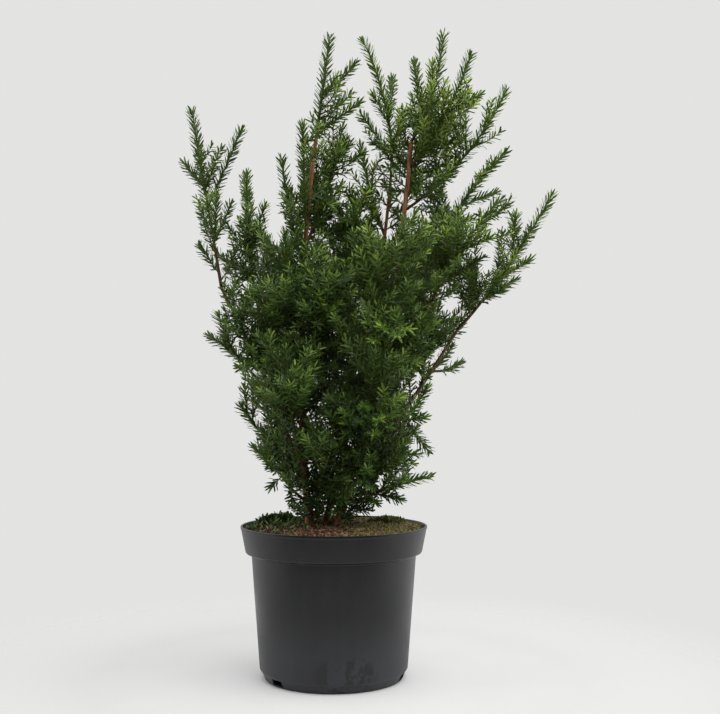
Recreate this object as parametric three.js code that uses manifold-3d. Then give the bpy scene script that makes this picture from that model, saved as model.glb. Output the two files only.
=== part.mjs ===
import * as THREE from 'three';
import { mergeVertices } from 'three/addons/utils/BufferGeometryUtils.js';
import Module from 'manifold-3d';

// A Hillii yew in a round nursery pot, in millimetres. +Z is up, +X is the right of its front view and
// +Y is away from the viewer. The origin is the centre of the pot's flat underside.

const wasm = await Module();
wasm.setup();

const UP = new THREE.Vector3(0, 0, 1);
const GOLDEN_ANGLE = Math.PI * (3 - Math.sqrt(5));

// Clear distance between two solids that carry each other
const GAP = 0.3;
// Edges and steps left by a join or a cut that are smaller than this are smoothed away
const SLIVER = 0.12;

// Pot
const POT_HEIGHT = 230;
const POT_WALL = 2.5;
const POT_FLOOR = 3;
const POT_SIDES = 36;
const SOIL_SIDES = POT_SIDES / 2;
const RIM_RADIUS = 143;
const RIM_LIP = 3;
const BAND_HEIGHT = 40;
const BAND_FOOT_RADIUS = 135;
const BODY_TOP_RADIUS = 126;
const BODY_FOOT_RADIUS = 113;
const BODY_FOOT_HEIGHT = 12;
const FOOT_RADIUS = 105;
const NOTCH_WIDTH = 22;
const NOTCH_HEIGHT = 9;
const NOTCH_DEPTH = 16;
const NOTCH_BEARINGS = [-139, -17, 103];

// Soil and the moss on it
const SOIL_EDGE_HEIGHT = 221;
const SOIL_MIDDLE_HEIGHT = 231;
const MOSS = [
  { name: 'moss_left', middle: [-88, 52], size: [34, 26, 13], clumps: 5 },
  { name: 'moss_right', middle: [88, 44], size: [32, 24, 9], clumps: 5 },
];
const CLUMP_SPREAD = 0.62;
const CLUMP_SIZE = [0.42, 0.46];
const CLUMP_DROP = 0.35;

// Limbs: round, tapering, on a curve from the foot or the carrying stem through the bend to the tip
const LIMB_SIDES = 6;
const STEM_LEVELS = 12;
const BOUGH_LEVELS = 5;
const FLARE = 0.75;
const FLARE_HEIGHT = 14;
const STEMS = [
  { name: 'stem_left', foot: [-37, 0], bend: [-66, -30, 530], tip: [-26, -60, 815], radii: [5.2, 2.9] },
  { name: 'stem_right', foot: [5, -6], bend: [100, -12, 560], tip: [119, -20, 820], radii: [5.8, 3.1] },
  { name: 'stem_back', foot: [-16, 30], bend: [70, 40, 535], tip: [90, 45, 787], radii: [4.4, 2.2] },
];
const BOUGHS = [
  {
    name: 'bough_outer_left', on: 'stem_left', at: 0.08,
    bend: [-85, 10, 430], tip: [-174, -5, 593], radii: [3.8, 1.9],
  },
  {
    name: 'bough_outer_right', on: 'stem_right', at: 0.12,
    bend: [85, 5, 360], tip: [190, -15, 530], radii: [4, 2.2],
  },
  {
    name: 'bough_right_upper', on: 'stem_right', at: 0.51,
    bend: [140, 15, 615], tip: [168, 25, 675], radii: [2.8, 1.8],
  },
  {
    name: 'bough_right_middle', on: 'stem_right', at: 0.37,
    bend: [130, -35, 530], tip: [155, -55, 585], radii: [2.8, 1.8],
  },
  {
    name: 'bough_left_inner', on: 'stem_left', at: 0.28,
    bend: [-110, 20, 500], tip: [-125, 35, 585], radii: [3, 1.8],
  },
  {
    name: 'bough_left_low', on: 'stem_left', at: 0.22,
    bend: [-90, -25, 420], tip: [-130, -30, 470], radii: [2.6, 1.7],
  },
  {
    name: 'bough_front_left', on: 'stem_left', at: 0.16,
    bend: [-50, -70, 325], tip: [-55, -95, 365], radii: [2.8, 1.8],
  },
  {
    name: 'bough_front_right', on: 'stem_right', at: 0.28,
    bend: [55, -80, 445], tip: [50, -115, 525], radii: [3, 1.9],
  },
  {
    name: 'bough_low_right', on: 'stem_right', at: 0.17,
    bend: [78, -50, 352], tip: [105, -60, 390], radii: [2.8, 1.8],
  },
  {
    name: 'bough_skirt_right', on: 'stem_right', at: 0.06,
    bend: [38, -30, 270], tip: [60, -35, 280], radii: [2.5, 1.7],
  },
  {
    name: 'bough_skirt_left', on: 'stem_left', at: 0.065,
    bend: [-65, -25, 285], tip: [-76, -35, 305], radii: [2.5, 1.7],
  },
  {
    name: 'bough_back_left', on: 'stem_left', at: 0.32,
    bend: [-80, 40, 445], tip: [-90, 80, 520], radii: [3, 1.8],
  },
  {
    name: 'bough_back_centre', on: 'stem_back', at: 0.31,
    bend: [20, 90, 445], tip: [20, 115, 545], radii: [3, 1.8],
  },
  {
    name: 'bough_back_right', on: 'stem_right', at: 0.25,
    bend: [100, 60, 420], tip: [125, 95, 510], radii: [3, 1.8],
  },
  {
    name: 'bough_low_back', on: 'stem_back', at: 0.1,
    bend: [0, 55, 285], tip: [5, 85, 335], radii: [2.6, 1.7],
  },
];

// Masses of foliage: the first tip ends the mass's own stem, and each further tip ends a named shoot.
// reach is how far the filling shoots stand off the stem, and fill is how many of them there may be.
const MASSES = [
  {
    name: 'crown_left_top', on: 'stem_left', at: 1, reach: 52, fill: 1,
    tips: [[-5, -85, 960], [34, -60, 929], [6, -95, 900], [40, -45, 873]],
  },
  { name: 'crown_left_side', on: 'stem_left', at: 0.76, reach: 50, fill: 1, tips: [[-45, -85, 830]] },
  { name: 'left_finger', on: 'stem_left', at: 0.66, reach: 47, fill: 1, tips: [[-80, -30, 790]] },
  {
    name: 'crown_left_back', on: 'stem_left', at: 0.72, reach: 57, fill: 4,
    tips: [[12, 15, 851], [25, -10, 820]],
  },
  { name: 'centre_finger', on: 'stem_back', at: 0.8, reach: 47, fill: 1, tips: [[40, 75, 838]] },
  {
    name: 'crown_mid_top', on: 'stem_back', at: 1, reach: 57, fill: 2,
    tips: [[45, 25, 993], [93, 92, 952], [60, 10, 903], [41, 40, 878]],
  },
  {
    name: 'crown_right_top', on: 'stem_right', at: 1, bend: [160, -22, 880], reach: 54, fill: 2,
    tips: [[168, -25, 985], [150, -50, 932], [125, 10, 953]],
  },
  {
    name: 'crown_right_outer', on: 'stem_right', at: 0.92, reach: 54, fill: 2,
    tips: [[207, -60, 943], [224, -35, 888], [171, -85, 880]],
  },
  {
    name: 'crown_right_back', on: 'stem_right', at: 0.84, reach: 57, fill: 5,
    tips: [[155, 80, 910], [195, 90, 873]],
  },
  { name: 'arm_right_upper', on: 'stem_right', at: 0.8, reach: 52, fill: 3, tips: [[269, 10, 908]] },
  {
    name: 'arm_right_middle', on: 'bough_right_upper', at: 1, reach: 54, fill: 3,
    tips: [[273, 40, 817], [260, 70, 757]],
  },
  {
    name: 'shoulder_right', on: 'bough_right_middle', at: 1, reach: 57, fill: 3,
    tips: [[250, -70, 720], [233, -95, 661], [226, -50, 637]],
  },
  {
    name: 'arm_right_outer', on: 'bough_outer_right', at: 1, bend: [256, -25, 600], reach: 57, fill: 4,
    tips: [[335, -30, 737], [275, -55, 700], [295, -60, 632], [284, 15, 610], [257, -45, 590]],
  },
  {
    name: 'right_inner', on: 'bough_outer_right', at: 0.72, reach: 55, fill: 4,
    tips: [[150, 25, 580], [207, 30, 556]],
  },
  {
    name: 'low_right_arm', on: 'bough_outer_right', at: 0.72, reach: 57, fill: 3,
    tips: [[197, 20, 479], [185, 40, 507]],
  },
  {
    name: 'low_right', on: 'bough_low_right', at: 1, reach: 57, fill: 4,
    tips: [[141, -70, 440], [135, -90, 396], [142, -55, 345]],
  },
  {
    name: 'skirt_right', on: 'bough_skirt_right', at: 1, reach: 54, fill: 4,
    tips: [[147, -35, 306], [100, -60, 274]],
  },
  {
    name: 'skirt_left', on: 'bough_skirt_left', at: 1, reach: 52, fill: 2,
    tips: [[-121, -35, 350], [-95, -50, 291], [-112, 0, 377]],
  },
  {
    name: 'low_left', on: 'bough_outer_left', at: 0.2, reach: 57, fill: 4,
    tips: [[-145, 10, 407], [-142, 35, 442]],
  },
  {
    name: 'left_low_outer', on: 'bough_left_low', at: 1, reach: 52, fill: 3,
    tips: [[-191, -20, 519], [-174, -50, 551], [-140, -60, 470]],
  },
  {
    name: 'arm_left_outer', on: 'bough_outer_left', at: 1, bend: [-196, -5, 726], reach: 52, fill: 2,
    tips: [
      [-219, -25, 867], [-236, 10, 794], [-140, -45, 832],
      [-175, -60, 732], [-164, 25, 731], [-204, -35, 657],
    ],
  },
  {
    name: 'left_middle', on: 'bough_outer_left', at: 0.6, reach: 55, fill: 4,
    tips: [[-144, -60, 553], [-120, -85, 585]],
  },
  {
    name: 'left_inner', on: 'bough_left_inner', at: 1, reach: 54, fill: 3,
    tips: [[-143, 60, 787], [-110, 25, 729], [-130, 90, 705]],
  },
  {
    name: 'left_shoulder', on: 'stem_left', at: 0.48, reach: 62, fill: 5,
    tips: [[-70, -100, 666], [-97, -75, 645]],
  },
  {
    name: 'front_left_column', on: 'bough_front_left', at: 1, reach: 60, fill: 5,
    tips: [[-65, -135, 495], [-27, -150, 445]],
  },
  {
    name: 'front_fork', on: 'bough_front_right', at: 1, bend: [60, -135, 580], reach: 57, fill: 4,
    tips: [[120, -135, 689], [30, -130, 661]],
  },
  {
    name: 'centre_top', on: 'stem_back', at: 0.6, reach: 60, fill: 3,
    tips: [[25, -10, 742], [0, 25, 730], [60, -25, 706]],
  },
  {
    name: 'centre_front', on: 'stem_left', at: 0.38, reach: 60, fill: 5,
    tips: [[5, -130, 621], [-37, -125, 614], [0, -150, 549]],
  },
  {
    name: 'front_right', on: 'stem_right', at: 0.42, reach: 62, fill: 4,
    tips: [[90, -160, 545], [143, -125, 541]],
  },
  {
    name: 'front_low', on: 'stem_left', at: 0.09, reach: 60, fill: 4,
    tips: [[0, -125, 357], [20, -105, 305]],
  },
  {
    name: 'front_column_right', on: 'stem_right', at: 0.2, reach: 60, fill: 5,
    tips: [[61, -165, 490], [45, -160, 413]],
  },
  {
    name: 'front_low_right', on: 'stem_right', at: 0.11, reach: 60, fill: 3,
    tips: [[103, -115, 357], [55, -125, 343]],
  },
  {
    name: 'back_left', on: 'bough_back_left', at: 1, reach: 64, fill: 4,
    tips: [[-75, 140, 702], [-120, 110, 649], [-140, 115, 568]],
  },
  {
    name: 'back_centre', on: 'bough_back_centre', at: 1, reach: 64, fill: 5,
    tips: [[15, 150, 720], [-20, 175, 680]],
  },
  {
    name: 'back_right', on: 'bough_back_right', at: 1, reach: 64, fill: 4,
    tips: [[165, 125, 727], [190, 120, 639], [125, 165, 675]],
  },
  {
    name: 'back_low', on: 'bough_low_back', at: 1, reach: 64, fill: 4,
    tips: [[-20, 165, 463], [55, 165, 427]],
  },
  {
    name: 'back_low_left', on: 'bough_outer_left', at: 0.12, reach: 62, fill: 4,
    tips: [[-100, 105, 405], [-115, 60, 341]],
  },
  {
    name: 'back_low_right', on: 'stem_right', at: 0.145, reach: 62, fill: 4,
    tips: [[106, 120, 397], [135, 80, 334]],
  },
];

// Shoots and their needles
const MASS_STEM_RADII = [2.6, 0.9];
const SHOOT_RADII = [1.3, 0.7];
const SHOOT_BARE_LENGTH = 7;
const BARE_STEP = 60;
const LEADER_LENGTH = 140;
const STEM_BARE_LENGTH = 14;
const NEEDLES = { reach: 17, lean: 12, step: 32 };
const FILL_NEEDLES = { reach: 24, lean: 15, step: 38 };
const TOOTH_TWIST = 0.5;
const END_TOOTH = 0.55;
const SHOOT_CLEARANCE = 0.4;
const NAMED_ANGLE = 37;
const NAMED_BOW = 0;
const FILL_ANGLES = [42, 60];
const FILL_LIFT = 0.12;
const FILL_TRIES = 3;
const FILL_START = 0.12;
const FILL_SPAN = 0.7;
const FILL_SPREAD = 0.618;
const FILL_TAPER = 0.45;
const FILL_BOW = 0.1;
const FILL_LENGTHS = [0.9, 1.25];
const FILL_SEEDS = [7919, 104729];
const STEM_BOW = 0.15;
const STEM_LEAD = 0.45;
const FORK_SHARES = { first: 0.05, last: 0.85, step: 0.02 };
const INSIDE_SHARES = [0.4, 0.7, 1];

// The crown's outline and the sky gaps in it are seen from this point in front. Each row of the outline
// is a height, the leftmost and rightmost X there, and how far the crown reaches to the front and back.
const EYE = new THREE.Vector3(40, -1685, 423);
const OUTLINE = [
  [250, -60, 65, 60],
  [285, -90, 120, 100],
  [345, -125, 140, 140],
  [440, -145, 150, 170],
  [500, -185, 188, 180],
  [560, -185, 233, 185],
  [620, -200, 295, 185],
  [720, -220, 330, 170],
  [870, -225, 268, 125],
  [895, -45, 268, 115],
  [925, -35, 262, 110],
  [950, -25, 215, 100],
  [990, -15, 175, 90],
];
const SKY_GAPS = [
  { x: 78, z: 702, width: 24, height: 56 },
  { x: 40, z: 777, width: 24, height: 30 },
  { x: 103, z: 764, width: 16, height: 20 },
  { x: -174, z: 670, width: 16, height: 60 },
  { x: 175, z: 592, width: 18, height: 46 },
  { x: -115, z: 860, width: 110, height: 170 },
  { x: 20, z: 925, width: 40, height: 110 },
  { x: 205, z: 795, width: 50, height: 40 },
  { x: 245, z: 690, width: 12, height: 50 },
];
const OUTLINE_MARGIN = 12;
const OUTLINE_FULLNESS = 1.3;
const GAP_MARGIN = 10;

const COLOURS = {
  pot: 0x2b2c2f,
  soil: 0x4c3829,
  moss: 0x6a7436,
  stem: 0x7d5c47,
  bough: 0x74603f,
  foliage: [0x2f4a26, 0x3f5f2e, 0x587a3c],
};
const FOLIAGE_COLOURS_FROM = 450;
const FOLIAGE_COLOUR_HEIGHT = 200;

/** Numbers from 0 to 1 that are the same for the same seed. */
function seeded(seed) {
  let state = seed >>> 0;
  const draw = () => {
    state = (Math.imul(state, 1664525) + 1013904223) >>> 0;
    return state / 2 ** 32;
  };
  draw();
  draw();
  return draw;
}

function mix(low, high, share) {
  return low + (high - low) * share;
}

function clamp(value, low, high) {
  return Math.min(Math.max(value, low), high);
}

/** A closed geometry as a solid that can be joined and cut. */
function solidOf(geometry) {
  const bare = geometry.index ? geometry.toNonIndexed() : geometry;
  bare.deleteAttribute('normal');
  bare.deleteAttribute('uv');
  const merged = mergeVertices(bare, 1e-3);
  return new wasm.Manifold(new wasm.Mesh({
    numProp: 3,
    vertProperties: new Float32Array(merged.attributes.position.array),
    triVerts: new Uint32Array(merged.index.array),
  }));
}

/** The named mesh of a solid, with its own material. */
function meshOf(name, solid, colour, roughness) {
  const { vertProperties, triVerts } = solid.getMesh();
  const geometry = new THREE.BufferGeometry();
  geometry.setAttribute('position', new THREE.BufferAttribute(vertProperties, 3));
  geometry.setIndex(new THREE.BufferAttribute(triVerts, 1));
  geometry.computeVertexNormals();
  const material = new THREE.MeshStandardMaterial({ color: colour, roughness, metalness: 0 });
  const mesh = new THREE.Mesh(geometry, material);
  mesh.name = name;
  return mesh;
}

/** The largest shell of a solid, without the scraps of a cut or a hollow sealed by a join. */
function outerShell(solid) {
  const pieces = solid.decompose();
  pieces.sort((a, b) => b.volume() - a.volume());
  return pieces[0];
}

/** Right-handed directions on a planar curve: across it, along it, and the third one. */
function directionsOn(curve, share) {
  const along = curve.getTangent(share);
  const across = new THREE.Vector3()
    .subVectors(curve.v1, curve.v0)
    .cross(new THREE.Vector3().subVectors(curve.v2, curve.v1));
  if (across.length() < 1e-3 * curve.v0.distanceToSquared(curve.v2)) {
    across.set(along.z, along.x, along.y).cross(along);
  }
  across.normalize();
  const third = new THREE.Vector3().crossVectors(across, along);
  return { across, along, third };
}

/** A round tube that is bent along a curve, with the radius that radiusAt gives at each share of it. */
function bentTube(curve, radiusAt, levels, sides = LIMB_SIDES) {
  const tube = new THREE.CylinderGeometry(1, 1, 1, sides, levels);
  const position = tube.attributes.position;
  for (let i = 0; i < position.count; i += 1) {
    const share = position.getY(i) + 0.5;
    const radius = radiusAt(share);
    const { across, third } = directionsOn(curve, share);
    const point = curve.getPoint(share)
      .addScaledVector(across, position.getX(i) * radius)
      .addScaledVector(third, position.getZ(i) * radius);
    position.setXYZ(i, point.x, point.y, point.z);
  }
  return solidOf(tube);
}

/**
 * A three-sided twig on a curve. Past its bare length, every side of every step rises to a tooth that
 * leans forward, as the needles on a shoot do. grow makes all of it that much thicker.
 */
function spray(curve, radii, bareLength, needles, grow = 0) {
  const length = curve.getLength();
  const bareSteps = Math.ceil(bareLength / BARE_STEP);
  const toothSteps = Math.max(2, Math.round((length - bareLength) / needles.step));
  const bare = bareLength / length;
  const shares = [];
  for (let step = 0; step < bareSteps; step += 1) {
    shares.push(bare * step / bareSteps);
  }
  for (let step = 0; step <= toothSteps; step += 1) {
    shares.push(mix(bare, 1, step / toothSteps));
  }
  const points = [];
  const faces = [];
  const ring = (level, side) => level * 3 + (side % 3);
  shares.forEach((share, level) => {
    const { across, along } = directionsOn(curve, share);
    const other = new THREE.Vector3().crossVectors(along, across);
    const radius = mix(radii[0], radii[1], share) + grow;
    for (let side = 0; side < 3; side += 1) {
      const angle = side * Math.PI * 2 / 3 + level * TOOTH_TWIST;
      points.push(curve.getPoint(share)
        .addScaledVector(across, Math.cos(angle) * radius)
        .addScaledVector(other, Math.sin(angle) * radius));
    }
  });
  const last = shares.length - 1;
  for (let level = 0; level < last; level += 1) {
    const middle = curve.getPoint(shares[level]).lerp(curve.getPoint(shares[level + 1]), 0.5);
    const along = curve.getTangent((shares[level] + shares[level + 1]) / 2);
    const reach = needles.reach * (level === last - 1 ? END_TOOTH : 1) + grow;
    for (let side = 0; side < 3; side += 1) {
      const [a, b] = [ring(level, side), ring(level, side + 1)];
      const [c, d] = [ring(level + 1, side + 1), ring(level + 1, side)];
      if (level < bareSteps) {
        faces.push(a, b, c, a, c, d);
        continue;
      }
      const outward = new THREE.Vector3();
      for (const corner of [a, b, c, d]) {
        outward.add(points[corner]);
      }
      outward.multiplyScalar(0.25).sub(middle).normalize();
      points.push(middle.clone()
        .addScaledVector(outward, reach)
        .addScaledVector(along, needles.lean + grow));
      const tooth = points.length - 1;
      faces.push(a, b, tooth, b, c, tooth, c, d, tooth, d, a, tooth);
    }
  }
  faces.push(ring(0, 2), ring(0, 1), ring(0, 0), ring(last, 0), ring(last, 1), ring(last, 2));
  return new wasm.Manifold(new wasm.Mesh({
    numProp: 3,
    vertProperties: new Float32Array(points.flatMap((point) => point.toArray())),
    triVerts: new Uint32Array(faces),
  }));
}

/** A curve from one point to another that leaves lower and further out, then turns up. */
function bowed(from, to, bow) {
  const way = new THREE.Vector3().subVectors(to, from);
  const flat = Math.hypot(way.x, way.y);
  const out = new THREE.Vector3(way.x, way.y, 0).normalize();
  const bend = from.clone().addScaledVector(way, 0.5);
  bend.addScaledVector(out.sub(UP), bow * flat);
  return new THREE.QuadraticBezierCurve3(from, bend, to);
}

/** The height of the soil's surface at a distance from the middle of the pot. */
function soilHeight(radius) {
  return mix(SOIL_MIDDLE_HEIGHT, SOIL_EDGE_HEIGHT, (radius / BODY_TOP_RADIUS) ** 2);
}

/** The pot: a thin shell with a flat floor, an outward band under its lip and three notches at its foot. */
function pot() {
  const inner = (radius) => radius - POT_WALL;
  const bandFoot = POT_HEIGHT - BAND_HEIGHT;
  const profile = [
    [0, 0],
    [FOOT_RADIUS, 0],
    [BODY_FOOT_RADIUS - 3, BODY_FOOT_HEIGHT],
    [BODY_FOOT_RADIUS, BODY_FOOT_HEIGHT + 3],
    [BODY_TOP_RADIUS, bandFoot - 3],
    [BAND_FOOT_RADIUS, bandFoot],
    [RIM_RADIUS - 1, POT_HEIGHT - 5],
    [RIM_RADIUS, POT_HEIGHT - RIM_LIP],
    [RIM_RADIUS, POT_HEIGHT],
    [RIM_RADIUS - RIM_LIP, POT_HEIGHT],
    [inner(BAND_FOOT_RADIUS), bandFoot + 2],
    [inner(BODY_TOP_RADIUS), bandFoot - 1],
    [inner(BODY_FOOT_RADIUS), BODY_FOOT_HEIGHT + 4],
    [inner(BODY_FOOT_RADIUS) - 4, BODY_FOOT_HEIGHT],
    [FOOT_RADIUS - 1, POT_FLOOR],
    [0, POT_FLOOR],
  ];
  const lathe = new THREE.LatheGeometry(profile.map(([r, z]) => new THREE.Vector2(r, z)), POT_SIDES);
  lathe.rotateX(Math.PI / 2);
  let shell = solidOf(lathe);
  for (const bearing of NOTCH_BEARINGS) {
    const cutter = new THREE.BoxGeometry(NOTCH_DEPTH, NOTCH_WIDTH, NOTCH_HEIGHT);
    cutter.translate(FOOT_RADIUS + NOTCH_DEPTH / 4, 0, POT_FLOOR + NOTCH_HEIGHT / 2);
    cutter.rotateZ(THREE.MathUtils.degToRad(bearing));
    shell = shell.subtract(solidOf(cutter));
  }
  return shell;
}

/** The soil that fills the pot, clear of its wall, with a slightly mounded top. */
function soil() {
  const clear = POT_WALL + 2 * GAP;
  const bandFoot = POT_HEIGHT - BAND_HEIGHT;
  const shoulder = SOIL_EDGE_HEIGHT - 3;
  const edge = mix(BAND_FOOT_RADIUS, RIM_RADIUS, (shoulder - bandFoot) / BAND_HEIGHT) - clear - 0.6;
  const profile = [
    [0, POT_FLOOR + GAP],
    [FOOT_RADIUS - clear - 1, POT_FLOOR + GAP],
    [BODY_FOOT_RADIUS - clear - 5, BODY_FOOT_HEIGHT + 4],
    [BODY_TOP_RADIUS - clear - 0.5, bandFoot - 1],
    [BAND_FOOT_RADIUS - clear - 1, bandFoot + 3],
    [edge, shoulder],
    [edge - 2, soilHeight(edge - 2)],
  ];
  for (const share of [0.75, 0.5, 0.25]) {
    profile.push([edge * share, soilHeight(edge * share)]);
  }
  profile.push([0, soilHeight(0)]);
  const lathe = new THREE.LatheGeometry(profile.map(([r, z]) => new THREE.Vector2(r, z)), SOIL_SIDES);
  lathe.rotateX(Math.PI / 2);
  return solidOf(lathe);
}

/** A low cushion of moss: overlapping clumps, cut off just above the soil. */
function mossCushion({ middle, size, clumps }, ground) {
  let cushion = null;
  for (let i = 0; i < clumps; i += 1) {
    const away = CLUMP_SPREAD * Math.sqrt((i + 0.3) / clumps);
    const x = middle[0] + Math.cos(i * GOLDEN_ANGLE) * size[0] * away;
    const y = middle[1] + Math.sin(i * GOLDEN_ANGLE) * size[1] * away;
    const clump = new THREE.SphereGeometry(1, 6, 4);
    clump.rotateX(Math.PI / 2);
    clump.scale(size[0] * CLUMP_SIZE[0], size[1] * CLUMP_SIZE[1], size[2] * (1 - CLUMP_DROP * away));
    clump.translate(x, y, soilHeight(Math.hypot(x, y)));
    const solid = solidOf(clump);
    cushion = cushion ? cushion.add(solid) : solid;
  }
  return outerShell(cushion.subtract(ground.translate([0, 0, GAP])));
}

/** A limb's centre line: a stem rises from the soil, and a bough leaves the stem that carries it. */
function limbCurve(limb, limbs) {
  const from = limb.on
    ? limbs.get(limb.on).curve.getPoint(limb.at)
    : new THREE.Vector3(...limb.foot, SOIL_MIDDLE_HEIGHT - 6);
  const bend = new THREE.Vector3(...limb.bend);
  return new THREE.QuadraticBezierCurve3(from, bend, new THREE.Vector3(...limb.tip));
}

/** The stems and boughs, each one solid: a stem cut flat above the soil, a bough cut clear of its stem. */
function growLimbs(ground) {
  const limbs = new Map();
  for (const limb of [...STEMS, ...BOUGHS]) {
    const curve = limbCurve(limb, limbs);
    const length = curve.getLength();
    const flare = limb.on ? 0 : FLARE;
    const radiusAt = (share) => (
      mix(limb.radii[0], limb.radii[1], share) * (1 + flare * Math.exp(-share * length / FLARE_HEIGHT))
    );
    const levels = limb.on ? BOUGH_LEVELS : STEM_LEVELS;
    let solid = bentTube(curve, radiusAt, levels);
    if (limb.on) {
      solid = outerShell(solid.subtract(limbs.get(limb.on).enlarged));
    } else {
      const height = ground.boundingBox().max[2] + GAP;
      solid = solid.trimByPlane([0, 0, 1], height);
    }
    const enlarged = bentTube(curve, (share) => radiusAt(share) + GAP, levels);
    limbs.set(limb.name, { curve, radiusAt, solid, enlarged, carries: !limb.on });
  }
  return limbs;
}

/** Where the outline rows put the crown at a height. */
function outlineAt(height) {
  const above = OUTLINE.findIndex((row) => row[0] > height);
  if (above <= 0) {
    return OUTLINE[above === 0 ? 0 : OUTLINE.length - 1];
  }
  const [low, high] = [OUTLINE[above - 1], OUTLINE[above]];
  const share = (height - low[0]) / (high[0] - low[0]);
  return low.map((value, i) => mix(value, high[i], share));
}

/** Whether a point is inside the crown and in front of no sky gap. */
function inCrown(point) {
  const scale = -EYE.y / (point.y - EYE.y);
  const x = EYE.x + (point.x - EYE.x) * scale;
  const z = EYE.z + (point.z - EYE.z) * scale;
  const [, left, right, depth] = outlineAt(z);
  const across = (x - (left + right) / 2) / ((right - left) / 2 - OUTLINE_MARGIN);
  const fullness = across ** 4 + (point.y / depth) ** 4;
  if (z < OUTLINE[0][0] || Math.abs(across) > 1 || fullness > OUTLINE_FULLNESS) {
    return false;
  }
  return SKY_GAPS.every((gap) => {
    const u = (x - gap.x) / (gap.width / 2 + GAP_MARGIN);
    const v = (z - gap.z) / (gap.height / 2 + GAP_MARGIN);
    return u * u + v * v > 1;
  });
}

/** The share of a stem at which a shoot to the tip leaves it at the usual angle. */
function forkShare(curve, tip) {
  const { first, last, step } = FORK_SHARES;
  let best = { share: first, miss: Infinity };
  for (let share = first; share < last + step / 2; share += step) {
    const way = new THREE.Vector3().subVectors(tip, curve.getPoint(share));
    const angle = THREE.MathUtils.radToDeg(way.angleTo(curve.getTangent(share)));
    const miss = Math.abs(angle - NAMED_ANGLE);
    if (miss < best.miss) {
      best = { share, miss };
    }
  }
  return best.share;
}

/** The stem of a mass: it goes on from its bough's tip, or leaves the side of a limb. */
function massStem(mass, limbs) {
  const limb = limbs.get(mass.on);
  const tip = new THREE.Vector3(...mass.tips[0]);
  if (mass.at < 1) {
    return bowed(limb.curve.getPoint(mass.at), tip, STEM_BOW);
  }
  const along = limb.curve.getTangent(1);
  const end = limb.curve.getPoint(1);
  const bend = mass.bend
    ? new THREE.Vector3(...mass.bend)
    : end.clone().addScaledVector(along, STEM_LEAD * end.distanceTo(tip));
  const turn = along.angleTo(new THREE.Vector3().subVectors(bend, end));
  const from = end.clone().addScaledVector(along, GAP + MASS_STEM_RADII[0] * Math.sin(turn));
  return new THREE.QuadraticBezierCurve3(from, bend, tip);
}

/** The filling shoot number i of a mass: round the stem by the golden angle, shorter towards the tip. */
function fillCurve(mass, stem, order, i) {
  const draw = seeded(order * FILL_SEEDS[0] + i * FILL_SEEDS[1]);
  const share = FILL_START + FILL_SPAN * ((i * FILL_SPREAD + draw() * 0.2) % 1);
  const turn = i * GOLDEN_ANGLE + draw() + order;
  const angle = THREE.MathUtils.degToRad(mix(...FILL_ANGLES, draw()));
  const stand = mass.reach * (1 - FILL_TAPER * share) * mix(...FILL_LENGTHS, draw());
  const length = stand / Math.sin(angle);
  const base = stem.getPoint(share);
  const { across, along, third } = directionsOn(stem, share);
  const way = new THREE.Vector3()
    .addScaledVector(across, Math.cos(turn) * Math.sin(angle))
    .addScaledVector(third, Math.sin(turn) * Math.sin(angle))
    .addScaledVector(along, Math.cos(angle));
  const tip = base.clone().addScaledVector(way, length).addScaledVector(UP, length * FILL_LIFT);
  return bowed(base, tip, FILL_BOW);
}

/** Whether a solid comes into the box of another. */
function boxesMeet(a, b) {
  return [0, 1, 2].every((i) => a.min[i] < b.max[i] && b.min[i] < a.max[i]);
}

/**
 * The foliage. Every mass first grows its stem, then its named shoots, and then all of them take turns
 * to add filling shoots. A shoot that would leave the crown, enter another mass's twigs or touch a limb
 * is skipped.
 */
function growMasses(limbs) {
  const masses = MASSES.map((mass, i) => {
    const stem = massStem(mass, limbs);
    const bareLength = Math.max(STEM_BARE_LENGTH, stem.getLength() - LEADER_LENGTH);
    let solid = spray(stem, MASS_STEM_RADII, bareLength, NEEDLES);
    if (mass.at < 1) {
      solid = outerShell(solid.subtract(limbs.get(mass.on).enlarged));
    }
    return { ...mass, order: i + 1, stem, solid, count: 0 };
  });
  const others = (own) => [
    ...[...limbs.values()].map((limb) => limb.solid),
    ...masses.filter((mass) => mass !== own).map((mass) => mass.solid),
  ];
  const addShoot = (mass, curve, needles) => {
    const shoot = spray(curve, SHOOT_RADII, SHOOT_BARE_LENGTH, needles);
    const space = shoot.add(spray(curve, SHOOT_RADII, SHOOT_BARE_LENGTH, needles, SHOOT_CLEARANCE));
    const box = space.boundingBox();
    const blocked = others(mass).some((solid) => (
      boxesMeet(box, solid.boundingBox()) && !space.intersect(solid).isEmpty()
    ));
    if (blocked) {
      return false;
    }
    mass.solid = outerShell(mass.solid.add(shoot));
    return true;
  };
  for (const mass of masses) {
    for (const place of mass.tips.slice(1)) {
      const tip = new THREE.Vector3(...place);
      const base = mass.stem.getPoint(forkShare(mass.stem, tip));
      addShoot(mass, bowed(base, tip, NAMED_BOW), NEEDLES);
    }
  }
  const rounds = FILL_TRIES * Math.max(...MASSES.map((mass) => mass.fill));
  for (let i = 0; i < rounds; i += 1) {
    for (const mass of masses) {
      if (mass.count >= mass.fill || i >= FILL_TRIES * mass.fill) {
        continue;
      }
      const curve = fillCurve(mass, mass.stem, mass.order, i);
      const inside = INSIDE_SHARES.every((share) => inCrown(curve.getPoint(share)));
      if (inside && addShoot(mass, curve, FILL_NEEDLES)) {
        mass.count += 1;
      }
    }
  }
  return masses;
}

/** Foliage is darker low in the crown and lighter at its top. */
function foliageColour(mass) {
  const level = Math.floor((mass.tips[0][2] - FOLIAGE_COLOURS_FROM) / FOLIAGE_COLOUR_HEIGHT);
  return COLOURS.foliage[clamp(level, 0, COLOURS.foliage.length - 1)];
}

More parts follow.
